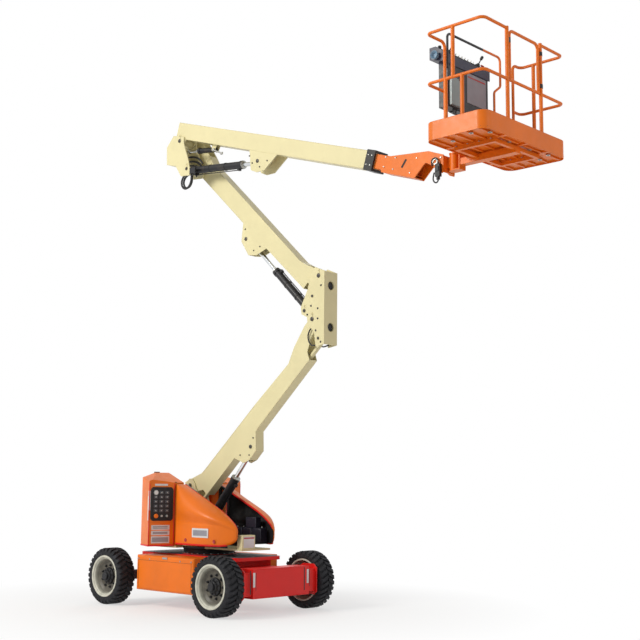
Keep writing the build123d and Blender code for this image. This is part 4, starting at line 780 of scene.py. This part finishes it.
# ------------------------------------------------------------------ tower: pins, keepers, cylinders and hoses
CHEEKS, UPRIGHT_SIDES = (0.0105, 0.2095), (-0.0085, 0.2285)
KNUCKLE_SIDES, MAIN_SIDES = (0.0155, 0.2045), (-0.252, -0.008)
PIN_SETS = [  # body, place, radius, the faces it ends at, with a keeper plate or not
    ("turntable", LOWER_PIVOT, 0.025, CHEEKS, False), ("turntable", (-0.32, 1.245), 0.016, CHEEKS, False),
    ("turntable", LOWER_LIFT_FOOT, 0.02, CHEEKS, False),
    ("upright", UPRIGHT_PIVOT, 0.025, UPRIGHT_SIDES, True),
    ("upright", (1.84, 3.205), 0.016, UPRIGHT_SIDES, False),
    ("upright", MID_PIVOT, 0.025, UPRIGHT_SIDES, True),
    ("upright", (1.74, 3.715), 0.016, UPRIGHT_SIDES, False),
    ("upright", MID_LIFT_FOOT, 0.02, UPRIGHT_SIDES, True),
    ("knuckle", KNUCKLE_PIVOT, 0.025, KNUCKLE_SIDES, True),
    ("knuckle", (-0.656, 5.89), 0.016, KNUCKLE_SIDES, False),
    ("knuckle", MAIN_PIVOT, 0.025, MAIN_SIDES, True),
    ("knuckle", MAIN_LIFT_FOOT, 0.02, MAIN_SIDES, True)]
caps, keepers = {}, {}
for body, (x, z), radius, (near, far), kept in PIN_SETS:
    shape = caps.setdefault(body, Shape())
    profile = [(radius * 1.02, -0.004), (radius * 1.02, 0.002), (radius * 0.85, 0.004)]
    for y, out in ((near, -1), (far, 1)):
        shape.plug(profile, (x, y, z), (0, out, 0), 28)
        shape.hexagon((x, y + out * 0.003, z), (0, out, 0), radius * 0.45, 0.006)
    if kept:
        shape = keepers.setdefault(body, Shape())
        shape.box((x - 0.012, near, z + radius + 0.002), (x + 0.012, near + 0.006, z + radius + 0.052))
        shape.hexagon((x, near, z + radius + 0.036), (0, -1, 0), 0.008, 0.006)
for body, shape in caps.items():
    shape.make(f"{body}_pin_caps", body, DARK, angle=30)
for body, shape in keepers.items():
    shape.make(f"{body}_pin_keepers", body, CREAM, "cream", bevel=0.001)


def faces(middle, half):
    """The near and the far face of something, each with the direction out of it."""
    return (middle - half, (0, -1, 0)), (middle + half, (0, 1, 0))


marks = Shape()
for x, z in ((1.83, 3.56), (1.83, 3.44), (1.88, 3.83), (1.8, 3.3), (1.88, 3.16), (1.72, 3.6), (1.66, 3.5)):
    for y, out in faces(TOWER_Y, 0.1125):
        marks.plug([(0.013, 0), (0.013, 0.002), (0.009, 0.003)], (x, y, z), out, 16)
        marks.hexagon((x, y, z), out, 0.008, 0.008)
marks.make("upright_bolts", "upright", DARK, angle=25)
HOLE_RIM = [(0.0515, -0.013), (0.058, -0.002), (0.058, 0.003), (0.0515, 0.003)]
rings, hole_shade_plates = Shape(), Shape()
for z in (3.335, 3.83):
    rings.ring(HOLE_RIM, (1.934, TOWER_Y, z), (1, 0, 0), 40)
    # Painted shade: a near-black plate set behind each hole stands for the shade inside the upright.
    hole_shade_plates.plug([(0.05, 0), (0.05, 0.004)], (1.914, TOWER_Y, z), (1, 0, 0), 32)
rings.make("upright_hole_rims", "upright", CREAM, "cream")
hole_shade_plates.make("upright_hole_painted_shade", "upright", BLACK_AND_PAINTED_SHADE, "black")

for name, place_at, length, eye, spots in (
        ("lower", lower_at, 2.917, LOWER_LIFT_EYE, ((1.235, -0.33), (1.045, -0.44), (0.925, -0.33))),
        ("mid", mid_at, 3.237, MID_LIFT_EYE, ((1.5, -0.33), (1.18, -0.44), (1.12, -0.34)))):
    lugs, pads = Shape(), Shape()
    for y, out in faces(TOWER_Y, 0.0675):
        for spot in spots:
            lugs.hexagon(place_at(*spot, y), out, 0.01, 0.008)
        lugs.plug([(0.024, 0), (0.024, 0.006), (0.019, 0.008)], place_at(*eye, y), out, 28)
    for y, out in faces(TOWER_Y, 0.0715):
        for along in (0.0, length):
            pads.washer(0.03, 0.04, -0.003, 0.0012, place_at(along, 0, y), out, 32)
    lugs.make(f"{name}_boom_lug_fasteners", f"{name}_boom", DARK, angle=25)
    pads.make(f"{name}_boom_bearing_rings", f"{name}_boom", ZINC)


def cylinder_dress(name, base, eye, y, length, radius, rod_radius):
    """Port blocks, a feed pipe and a gland on a lift cylinder's barrel."""
    base, eye = Vector((base[0], y, base[1])), Vector((eye[0], y, eye[2]))
    line = (eye - base).normalized()
    out = Vector((line.z, 0, -line.x))
    body = f"{name}_barrel"

    def on(t, d):
        return base + line * t + out * d

    profile = [(rod_radius + 0.0015, -0.004), (radius + 0.002, -0.004), (radius + 0.004, 0.0),
               (radius + 0.004, 0.012), (rod_radius + 0.01, 0.014), (rod_radius + 0.0015, 0.02)]
    gland = Shape().ring(profile, on(length - 0.004, 0), line, 40)
    for angle in around(6):
        side = out * cos(angle) + Vector((0, 1, 0)) * sin(angle)
        gland.hexagon(on(length + 0.008, 0) + side * (radius * 0.82), line, 0.005, 0.004)
    gland.make(f"{name}_gland", body, ZINC, angle=30)
    blocks = Shape()
    turn = Matrix.Rotation(-atan2(line.z, line.x), 4, "Y")
    for t, size in ((0.075, 0.03), (length - 0.075, 0.02)):
        spot, reach = on(t, radius + 0.01), Vector((size, 0.02, 0.014))
        blocks.box(spot - reach, spot + reach, turn)
    blocks.bar(on(0.105, radius + 0.016), on(length - 0.09, radius + 0.016), 0.006, 14)
    blocks.bar(on(0.075, radius + 0.02), on(0.075, radius + 0.045), 0.01, 14)
    clamp = [(radius + 0.0005, -0.01), (radius + 0.004, -0.009), (radius + 0.004, 0.009),
             (radius + 0.0005, 0.01)]
    for t in (0.36, 0.66):
        blocks.ring(clamp, on(length * t, 0), line, 36)
    blocks.make(f"{name}_ports_and_pipe", body, BLACK, "black", bevel=0.0015)
    bush = Shape()
    for s in (1, -1):
        bush.washer(rod_radius * 0.75, 0.033, 0, 0.0025, eye + Vector((0, s * 0.0298, 0)), (0, s, 0), 32)
    bush.make(f"{name}_eye_bush", f"{name}_rod", ZINC)


cylinder_dress("lower_lift", LOWER_LIFT_FOOT, lower_at(*LOWER_LIFT_EYE, 0), TOWER_Y, 1.0, 0.052, 0.028)
cylinder_dress("mid_lift", MID_LIFT_FOOT, mid_at(*MID_LIFT_EYE, 0), TOWER_Y, 0.822, 0.048, 0.026)
cylinder_dress("main_lift", MAIN_LIFT_FOOT, main_at(*MAIN_LIFT_EYE, 0), MAIN_Y, 0.984, 0.048, 0.026)

for where, y, end_y in (("near", 0.06, 0.062), ("far", 0.16, 0.16)):
    run = [lower_at(*spot, y) for spot in ((0.18, -0.15), (0.3, -0.2), (0.6, -0.19), (1.6, -0.15))]
    hose(f"lower_boom_hose_{where}", run + [lower_at(2.5, -0.15, end_y)], 0.009, "lower_boom")
for index, y in enumerate((0.02, 0.195)):
    hose_across(f"upright_hose_{index}", y, ((1.7, 3.33), (1.665, 3.3), (1.65, 3.22), (1.69, 3.14),
                                             (1.76, 3.12), (1.845, 3.15)), 0.0085, "upright")
    hose_across(f"upright_upper_hose_{index}", y, ((1.7, 3.4), (1.76, 3.38), (1.85, 3.48), (1.87, 3.64),
                                                   (1.8, 3.76), (1.705, 3.8)), 0.0085, "upright")

# ------------------------------------------------------------------ knuckle and main boom
NEAR_PLATE = -0.246
LOOP = [(0.09, 0.1), (0.02, 0.098), (-0.06, 0.07), (-0.102, 0.0), (-0.085, -0.07), (-0.02, -0.115),
        (0.055, -0.095), (0.098, -0.03), (0.1, 0.05), (0.12, 0.1)]
for index, grow in enumerate((1.0, 0.86)):
    points = [(-0.375 + x * grow, 5.455 + z * grow) for x, z in LOOP]
    hose_across(f"knuckle_hose_{index}", NEAR_PLATE + 0.032 + 0.026 * index, points, 0.013, "knuckle")
for index, z in enumerate((5.72, 5.78, 5.84)):
    hose(f"knuckle_run_{index}", [(-0.56, -0.052, z), (-0.48, -0.05, z - 0.01), (-0.38, -0.052, z - 0.03),
                                  (-0.29, -0.05, z - 0.08), (-0.24, -0.052, z - 0.15)], 0.013, "knuckle")
pump = Shape().box((-0.275, NEAR_PLATE - 0.004, 5.52), (-0.165, NEAR_PLATE + 0.02, 5.6))
for x in (-0.255, -0.22, -0.185):
    pump.bar((x, NEAR_PLATE + 0.01, 5.515), (x, NEAR_PLATE + 0.01, 5.49), 0.009, 14)
pump.make("knuckle_valve", "knuckle", BLACK, "black", bevel=0.002)
port = Shape().bar((0.15, -0.222, 5.768), (0.322, -0.222, 5.69), 0.01, 16)
port.boxes(((0.14, -0.2275, 5.752), (0.176, -0.212, 5.786)), ((0.3, -0.2275, 5.676), (0.336, -0.212, 5.706)))
port.make("main_boom_side_pipe", "main_boom", ZINC, bevel=0.001)
mark = Shape().ring([(0.03, 0), (0.06, 0), (0.06, 0.004), (0.054, 0.006), (0.03, 0.006)],
                    mid_at(2.729, -0.06, 0.0425), (0, -1, 0), 40)
mark.make("mid_boom_hub_mark", "mid_boom", CREAM, "cream", bevel=0.0008)


def main_section(along, half, low, high):
    corners = (-half, low), (-half, high), (half, high), (half, low)
    return [main_at(along, above, MAIN_Y + y) for y, above in corners]


shield = Shape().loft([main_section(*row) for row in (
    (3.376, 0.1062, 0.024, 0.2545), (3.376, 0.1087, 0.0215, 0.257), (3.5015, 0.1087, 0.0215, 0.257),
    (3.5015, 0.0805, 0.0525, 0.2255), (3.4995, 0.0805, 0.0525, 0.2255), (3.4995, 0.1062, 0.024, 0.2545))],
    caps=False)
shield.make("boom_end_collar", "main_boom", BLACK, "black", bevel=0.002)
pads = Shape()
for along in (3.41, 3.465):
    for above in (0.085, 0.195):
        for y, out in faces(MAIN_Y, 0.108):
            pads.hexagon(main_at(along, above, y), out, 0.009, 0.007)
pads.make("wear_pad_bolts", "main_boom", ZINC, angle=25)
lug = Shape()
for y, out in faces(MAIN_Y, 0.095):
    for along, above in ((1.5, -0.12), (1.65, -0.15), (1.76, -0.06), (1.42, -0.04)):
        lug.hexagon(main_at(along, above, y), out, 0.01, 0.008)
    lug.plug([(0.024, 0), (0.024, 0.007), (0.019, 0.009)], main_at(*MAIN_LIFT_EYE, y), out, 28)
    lug.washer(0.03, 0.046, -0.001, 0.0055, main_at(0, 0, y), out, 36)
lug.make("main_boom_lug_fasteners", "main_boom", DARK, angle=25)
tail = Shape().loft([main_section(along, 0.08, 0.05, 0.228) for along in (-0.118, -0.113)])
tail.make("main_boom_end_cover", "main_boom", BLACK, "black", bevel=0.0015)
for name, place_at, middle, half, runs in (
        ("main", main_at, MAIN_Y, 0.0955, ((-0.1, 0.0355, 3.37, 0.0355), (-0.1, 0.2425, 3.37, 0.2425))),
        ("lower", lower_at, TOWER_Y, 0.068, ((0.27, -0.022, 1.5, -0.046), (1.35, -0.293, 2.5, -0.293))),
        ("mid", mid_at, TOWER_Y, 0.068, ((0.42, -0.07, 1.62, -0.062), (1.62, -0.292, 2.8, -0.292)))):
    weld = Shape()
    for y in (middle - half, middle + half):
        for a0, h0, a1, h1 in runs:
            weld.bar(place_at(a0, h0, y), place_at(a1, h1, y), 0.0028, 8)
    weld.make(f"{name}_boom_weld_seams", f"{name}_boom", CREAM, "cream", angle=60)

# ------------------------------------------------------------------ fly nose and levelling head
NOSE_SLOT = [(3.908, 0.115), (3.932, 0.108), (3.968, 0.205), (3.944, 0.212)]
slot, nose = Shape(), Shape()
for y, out in faces(MAIN_Y, 0.088):
    # Painted shade: thin near-black plates on each face stand for the slot and the hole, whose insides are in
    # shade.
    slot.prism(NOSE_SLOT, -0.002, 0.0016, lambda u, v, d: main_at(u, v, y + out[1] * d))
    slot.plug([(0.017, -0.002), (0.017, 0.0016)], main_at(4.325, 0.29, y), out, 24)
    nose.washer(0.021, 0.036, -0.001, 0.0045, main_at(4.376, 0.228, y), out, 36)
    for along, above in ((3.66, 0.09), (3.66, 0.2), (3.8, 0.08), (3.8, 0.21), (4.05, 0.07), (4.1, 0.24)):
        nose.hexagon(main_at(along, above, y), out, 0.009, 0.007)
slot.make("fly_nose_openings_painted_shade", "fly", BLACK_AND_PAINTED_SHADE, "black")
nose.make("fly_nose_fittings", "fly", ZINC, angle=25)
motor = Shape().boxes(((3.778, -0.278, 4.742), (3.838, -0.2365, 4.88)),
                      ((3.786, -0.286, 4.8), (3.83, -0.277, 4.85)))
motor.bar((3.808, -0.258, 4.744), (3.808, -0.258, 4.71), 0.02, 24)
motor.bar((3.808, -0.258, 4.878), (3.808, -0.258, 4.898), 0.012, 18)
motor.make("rotator_valve", "level_head", BLACK, "black", bevel=0.003)
hose("rotator_hose_0", [(3.808, -0.258, 4.894), (3.806, -0.258, 4.93), (3.78, -0.262, 4.955),
                        (3.735, -0.264, 4.945), (3.712, -0.256, 4.91), (3.72, -0.244, 4.88)],
     0.008, "level_head")
hose("rotator_hose_1", [(3.808, -0.258, 4.716), (3.806, -0.258, 4.69), (3.775, -0.262, 4.676),
                        (3.742, -0.262, 4.71), (3.738, -0.252, 4.76), (3.744, -0.244, 4.8)],
     0.008, "level_head")
head = Shape()
for y, out in faces(MAIN_Y, 0.106):
    head.washer(0.021, 0.034, -0.001, 0.004, (3.749, y, 4.922), out, 32)
    head.hexagon((3.828, y, 4.952), out, 0.01, 0.008)
for angle in around(8):
    spot = (3.925 + 0.04 * cos(angle + 0.2), MAIN_Y + 0.04 * sin(angle + 0.2), 4.9975)
    head.hexagon(spot, (0, 0, 1), 0.006, 0.005)
head.washer(0.02, 0.056, 0, 0.003, (3.925, MAIN_Y, 4.9972), (0, 0, 1), 40)
head.make("level_head_fittings", "level_head", ZINC, angle=25)

# ------------------------------------------------------------------ platform
def path_with_bends(points, bend, steps=7):
    """A row of points with each inner corner rounded."""
    points = [Vector(p) for p in points]
    path = [points[0]]
    for before, here, after in zip(points, points[1:], points[2:]):
        a, b = (before - here).normalized(), (after - here).normalized()
        half = a.angle(b) / 2
        reach = min(bend / tan(half), (before - here).length * 0.49, (after - here).length * 0.49)
        radius = reach * tan(half)
        centre = here + (a + b).normalized() * (radius / sin(half))
        start, end = here + a * reach - centre, here + b * reach - centre
        for k in range(steps + 1):
            path.append(centre + start.slerp(end, k / steps).normalized() * radius)
    path.append(points[-1])
    return path


def tube(shape, points, radius, bend, steps=14):
    """A bent round tube swept through a row of points."""
    path = path_with_bends(points, bend)
    side = None
    rows = []
    for i, here in enumerate(path):
        ahead = path[min(i + 1, len(path) - 1)] - path[max(i - 1, 0)]
        ahead.normalize()
        if side is None:
            side = ahead.orthogonal().normalized()
        side = (side - ahead * side.dot(ahead)).normalized()
        other = ahead.cross(side)
        rows.append([here + side * (radius * cos(a)) + other * (radius * sin(a)) for a in around(steps)])
    shape.loft(rows)


PAN_X, PAN_Y, PAN_HIGH, FLOOR, PAN_CORNER = (4.104, 4.844), (-0.88, 0.62), 5.105, 4.944, 0.11


def pan_outline(inset, z):
    outline = rounded(PAN_X[0] + inset, PAN_Y[0] + inset, PAN_X[1] - inset, PAN_Y[1] - inset,
                      PAN_CORNER - inset, 8)
    return [Vector((x, y, z)) for x, y in outline]


rows = [pan_outline(inset, PAN_HIGH + rise) for inset, rise in
        ((0.0005, -0.001), (0.0005, 0.003), (0.0025, 0.0055), (0.0055, 0.003), (0.0055, -0.001))]
lip = Shape().loft(rows + rows[:1], caps=False)
lip.make("pan_rim", "platform", ORANGE, "orange")
grate = Shape()
TREAD = 0.0025   # half the width of a tread bar
for index in range(23):
    y = PAN_Y[0] + 0.062 + 0.0626 * index
    grate.box((PAN_X[0] + 0.01, y - TREAD, FLOOR - 0.0005), (PAN_X[1] - 0.01, y + TREAD, FLOOR + 0.0035))
for index in range(11):
    x = PAN_X[0] + 0.06 + 0.062 * index
    grate.box((x - TREAD, PAN_Y[0] + 0.01, FLOOR - 0.0005), (x + TREAD, PAN_Y[1] - 0.01, FLOOR + 0.0025))
grate.make("floor_tread", "platform", GREY, "grey")
spots = Shape()
for x, y in ((4.625, -0.804), (4.337, -0.709), (4.781, -0.707), (4.652, -0.383), (4.734, -0.31),
             (4.442, -0.057), (4.337, 0.35), (4.625, 0.43), (4.781, 0.34), (4.734, 0.06)):
    spots.washer(0.012, 0.024, -0.003, 0.004, (x, y, 4.919), (0, 0, -1), 24)
for x in (4.26, 4.4, 4.54, 4.68):
    for y in (-0.552, -0.478, 0.218, 0.292):
        spots.hexagon((x, y, 4.9185), (0, 0, -1), 0.01, 0.007)
spots.make("pan_drain_rings", "platform", ZINC, angle=30)
ribs = Shape()
for x in (4.19, 4.33, 4.47, 4.61, 4.76):
    for low, high in ((-0.845, -0.54), (-0.49, -0.185), (-0.075, 0.23), (0.28, 0.585)):
        ribs.box((x - 0.01, low, 4.9215), (x + 0.01, high, 4.9395))
ribs.make("pan_underside_ribs", "platform", ORANGE, "orange", bevel=0.002)
feet = Shape()
for x, y in ((4.82, -0.45), (4.82, 0.16), (4.362, -0.856), (4.562, -0.856), (4.459, 0.596)):
    feet.ring([(0.0195, 0), (0.0235, 0), (0.0235, 0.004), (0.0195, 0.01)], (x, y, FLOOR), (0, 0, 1), 28)
for x, y in ((4.128, -0.556), (4.29, 0.451)):
    feet.ring([(0.0155, 0), (0.028, 0), (0.028, 0.006), (0.0155, 0.012)], (x, y, FLOOR), (0, 0, 1), 28)
feet.make("post_weld_rings", "platform", ORANGE, "orange")
latch = Shape().box((4.806, -0.445, 5.905), (4.836, -0.405, 5.96))
latch.bar((4.821, -0.425, 5.96), (4.821, -0.425, 5.99), 0.009, 16)
latch.make("gate_latch", "gate", BLACK, "black", bevel=0.002)
hinge = Shape()
for z in (5.6, 5.95):
    hinge.washer(0.0205, 0.0237, -0.022, 0.022, (4.82, 0.16, z), (0, 0, 1), 28)
hinge.make("gate_hinge_sleeves", "gate", BLACK, "black", bevel=0.001)

# ------------------------------------------------------------------ operator's console
console = Nodes("console_finish")
tone = console.cloudy(6.0, 6.0, WIDE, srgb(17, 17, 22), srgb(26, 26, 32))
tone = console.mix(console.beyond("Z", 5.858), tone, srgb(36, 36, 60))
guard = console.beyond("X", 4.112)
tone = console.mix(guard, tone, srgb(22, 22, 27))
tone = console.mix(console.both(guard, console.beyond("Y", 0.115)), tone, srgb(238, 118, 18))
nodes["control_console"].data.materials[0] = console.coat(
    tone, console.cloudy(25.0, 4.0, WIDE, 0.36, 0.52), console.noise(600.0, 3.0), 0.15, 0.0005, 0.006)

FRONT = 4.1
sheet = Shape().plate(-0.135, 5.52, 0.21, 5.85, FRONT - 0.001, FRONT + 0.004, across, 0.006)
sheet.make("console_blank_plate", "platform", PLATE, bevel=0.001)
line = Shape().box((4.1035, -0.12, 5.8), (4.105, 0.195, 5.816))
line.make("console_plate_band", "platform", RED_PLATE)
# Painted reflection: the box's pale colour stands in for the bright look of reflecting silver.
pocket = Shape().boxes(
    ((4.099, -0.445, 5.42), (4.104, -0.28, 5.73)), ((4.13, -0.445, 5.42), (4.134, -0.28, 5.7)),
    ((FRONT, -0.447, 5.42), (4.134, -0.443, 5.716)), ((FRONT, -0.282, 5.42), (4.134, -0.278, 5.716)),
    ((FRONT, -0.445, 5.418), (4.134, -0.28, 5.423)))
pocket.bar((FRONT, -0.447, 5.733), (FRONT, -0.278, 5.733), 0.005, 12)
pocket.make("document_box", "platform", SILVER_PAINTED_REFLECTION, bevel=0.0015)
BELL = [(0.016, -0.01), (0.02, 0.02), (0.03, 0.048), (0.044, 0.062), (0.046, 0.066), (0.043, 0.066),
        (0.028, 0.05), (0.014, 0.02)]
SOUNDER = [(0.034, -0.004), (0.036, 0.0), (0.036, 0.014), (0.03, 0.02)]
horn = Shape().ring(BELL, (4.02, -0.535, 5.936), (0, -1, 0), 40)
horn.plug(SOUNDER, (4.02, -0.553, 5.936), (0, -1, 0), 32)
horn.make("horn", "platform", PALE, bevel=0.0008)
DESK_FRONT, DESK_BACK = (4.108, 5.965), (4.01, 6.04)
slope = atan2(DESK_BACK[1] - DESK_FRONT[1], DESK_FRONT[0] - DESK_BACK[0])
normal = Vector((sin(slope), 0, cos(slope)))
along = Vector((cos(slope), 0, -sin(slope)))


def on_desk(u, y, d):
    """A place on the console's sloping top: u down the slope, y across."""
    return Vector((4.059, y, 6.0025)) + along * u + normal * d


desk = Shape().plate(-0.5, -0.048, 0.23, 0.048, -0.001, 0.004, lambda u, v, d: on_desk(v, u, d), 0.01)
desk.make("console_desk", "platform", BLACK_AND_PAINTED_SHADE, "black", bevel=0.001)
BOOT = [(0.032, 0.003), (0.032, 0.008), (0.022, 0.018), (0.014, 0.03), (0.007, 0.034)]
STICK = [(0.006, 0.03), (0.006, 0.07), (0.015, 0.078), (0.017, 0.1), (0.013, 0.116), (0.006, 0.12)]
sticks = Shape()
for y in (-0.4, 0.12):
    sticks.plug(BOOT, on_desk(0, y, 0), normal, 28).plug(STICK, on_desk(0, y, 0), normal, 24)
sticks.make("joysticks", "platform", BLACK, "black")
switches = Shape()
for index in range(7):
    for u in (-0.024, 0.02):
        base = on_desk(u, -0.31 + 0.054 * index, 0.004)
        switches.plug([(0.009, 0), (0.009, 0.004), (0.006, 0.006)], base, normal, 16)
        switches.bar(base, base + normal * 0.022 + along * (0.006 if index % 2 else -0.006), 0.0032, 10)
switches.make("console_switches", "platform", ZINC, angle=30)
stop = Shape().plug([(0.012, 0.003), (0.012, 0.014), (0.022, 0.016), (0.023, 0.026), (0.018, 0.031)],
                    on_desk(0, 0.195, 0), normal, 28)
stop.make("console_stop_knob", "platform", RED_PLATE)
knob = Shape().plug([(0.012, 0.0), (0.012, 0.02), (0.02, 0.026), (0.02, 0.046), (0.014, 0.052)],
                    (3.975, -0.44, 6.038), (0, 0, 1), 24)
knob.make("console_side_knob", "platform", BLACK, "black")
conduit = Shape()
for path in (((3.99, -0.05, 5.402), (3.99, -0.05, 5.3), (4.06, -0.1, 5.2), (4.11, -0.16, 5.125)),
             ((3.99, 0, 5.402), (3.99, 0, 5.28), (4.06, -0.02, 5.18), (4.11, -0.06, 5.125))):
    tube(conduit, path, 0.013, 0.06)
conduit.make("console_conduits", "platform", HOSE, "black", angle=60)
shelf = Shape().box((3.99, -0.3, 5.392), (4.095, 0.08, 5.401))
shelf.make("console_shelf", "platform", BLACK, "black", bevel=0.001)

# ------------------------------------------------------------------ camera, light and floor
camera = bpy.data.objects.new("camera", bpy.data.cameras.new("camera"))
scene.collection.objects.link(camera)
scene.camera = camera
camera.data.sensor_width = 36.0
camera.data.lens = 63.67
camera.data.clip_end = 200
YAW, PITCH, ROLL = (radians(a) for a in (133.283, 8.087, 0.48))
forward = Vector((cos(YAW) * cos(PITCH), sin(YAW) * cos(PITCH), sin(PITCH)))
level_right = Vector((sin(YAW), -cos(YAW), 0))
level_up = level_right.cross(forward)
right = level_right * cos(ROLL) + level_up * sin(ROLL)
up = right.cross(forward)
camera.matrix_world = Matrix.Translation((10.8807, -9.572, 1.549)) @ Matrix(
    ((right.x, up.x, -forward.x), (right.y, up.y, -forward.y), (right.z, up.z, -forward.z))).to_4x4()

scene.view_settings.view_transform = "Standard"


def floor_paint(name, colour):
    """Pale and matt near the machine for its shadow; further off the camera and mirrors see it white."""
    n = Nodes(name)
    n.put("Base Color", colour)
    n.put("Roughness", 0.9)
    glow = n.add("ShaderNodeEmission", Color=(1, 1, 1, 1), Strength=1.0)
    path = n.add("ShaderNodeLightPath").outputs
    seen = n.math("MAXIMUM", path["Is Camera Ray"], path["Is Glossy Ray"])
    length = n.add("ShaderNodeVectorMath", operation="LENGTH")
    n.link(n.add("ShaderNodeNewGeometry").outputs["Position"], length.inputs[0])
    mixer = n.add("ShaderNodeMixShader")
    n.link(n.both(seen, n.ramp(length.outputs["Value"], 0.9, 4.2, 0.5, 1.0)), mixer.inputs[0])
    n.link(n.bsdf.outputs[0], mixer.inputs[1])
    n.link(glow.outputs[0], mixer.inputs[2])
    n.link(mixer.outputs[0], n.tree.nodes["Material Output"].inputs["Surface"])
    return n.mat


floor_piece = Shape().box((-60, -60, -0.02), (60, 60, 0.0)).object("floor")
floor_piece.data.materials.append(floor_paint("pale_floor", (0.88, 0.88, 0.88, 1)))

world = bpy.data.worlds.new("studio")
scene.world = world
world.use_nodes = True
tree = world.node_tree
background = tree.nodes["Background"]
background.inputs["Color"].default_value = (1, 1, 1, 1)
path = tree.nodes.new("ShaderNodeLightPath")
seen = path.outputs["Is Camera Ray"]
for kind in ("Is Transmission Ray", "Is Glossy Ray"):
    either = tree.nodes.new("ShaderNodeMath")
    either.operation = "MAXIMUM"
    tree.links.new(seen, either.inputs[0])
    tree.links.new(path.outputs[kind], either.inputs[1])
    seen = either.outputs[0]
level = tree.nodes.new("ShaderNodeMapRange")
level.inputs["To Min"].default_value = 0.34
level.inputs["To Max"].default_value = 1.0
tree.links.new(seen, level.inputs["Value"])
tree.links.new(level.outputs["Result"], background.inputs["Strength"])


def lamp(name, place, size, energy, colour=(1, 1, 1)):
    data = bpy.data.lights.new(name, "AREA")
    data.shape = "DISK"
    data.size = size
    data.energy = energy
    data.color = colour
    piece = bpy.data.objects.new(name, data)
    scene.collection.objects.link(piece)
    piece.location = place
    piece.rotation_mode = "QUATERNION"
    piece.rotation_quaternion = (Vector((1.2, 0, 3.0)) - Vector(place)).to_track_quat("-Z", "Y")
    return piece


lamp("key", (-3.0, -15.0, 11.0), 7.0, 2150, (1.0, 0.97, 0.9))
lamp("fill", (14.0, 1.0, 6.0), 7.0, 230, (1.0, 0.88, 0.78))
lamp("back", (-10.0, 12.0, 10.0), 6.0, 600).visible_glossy = False
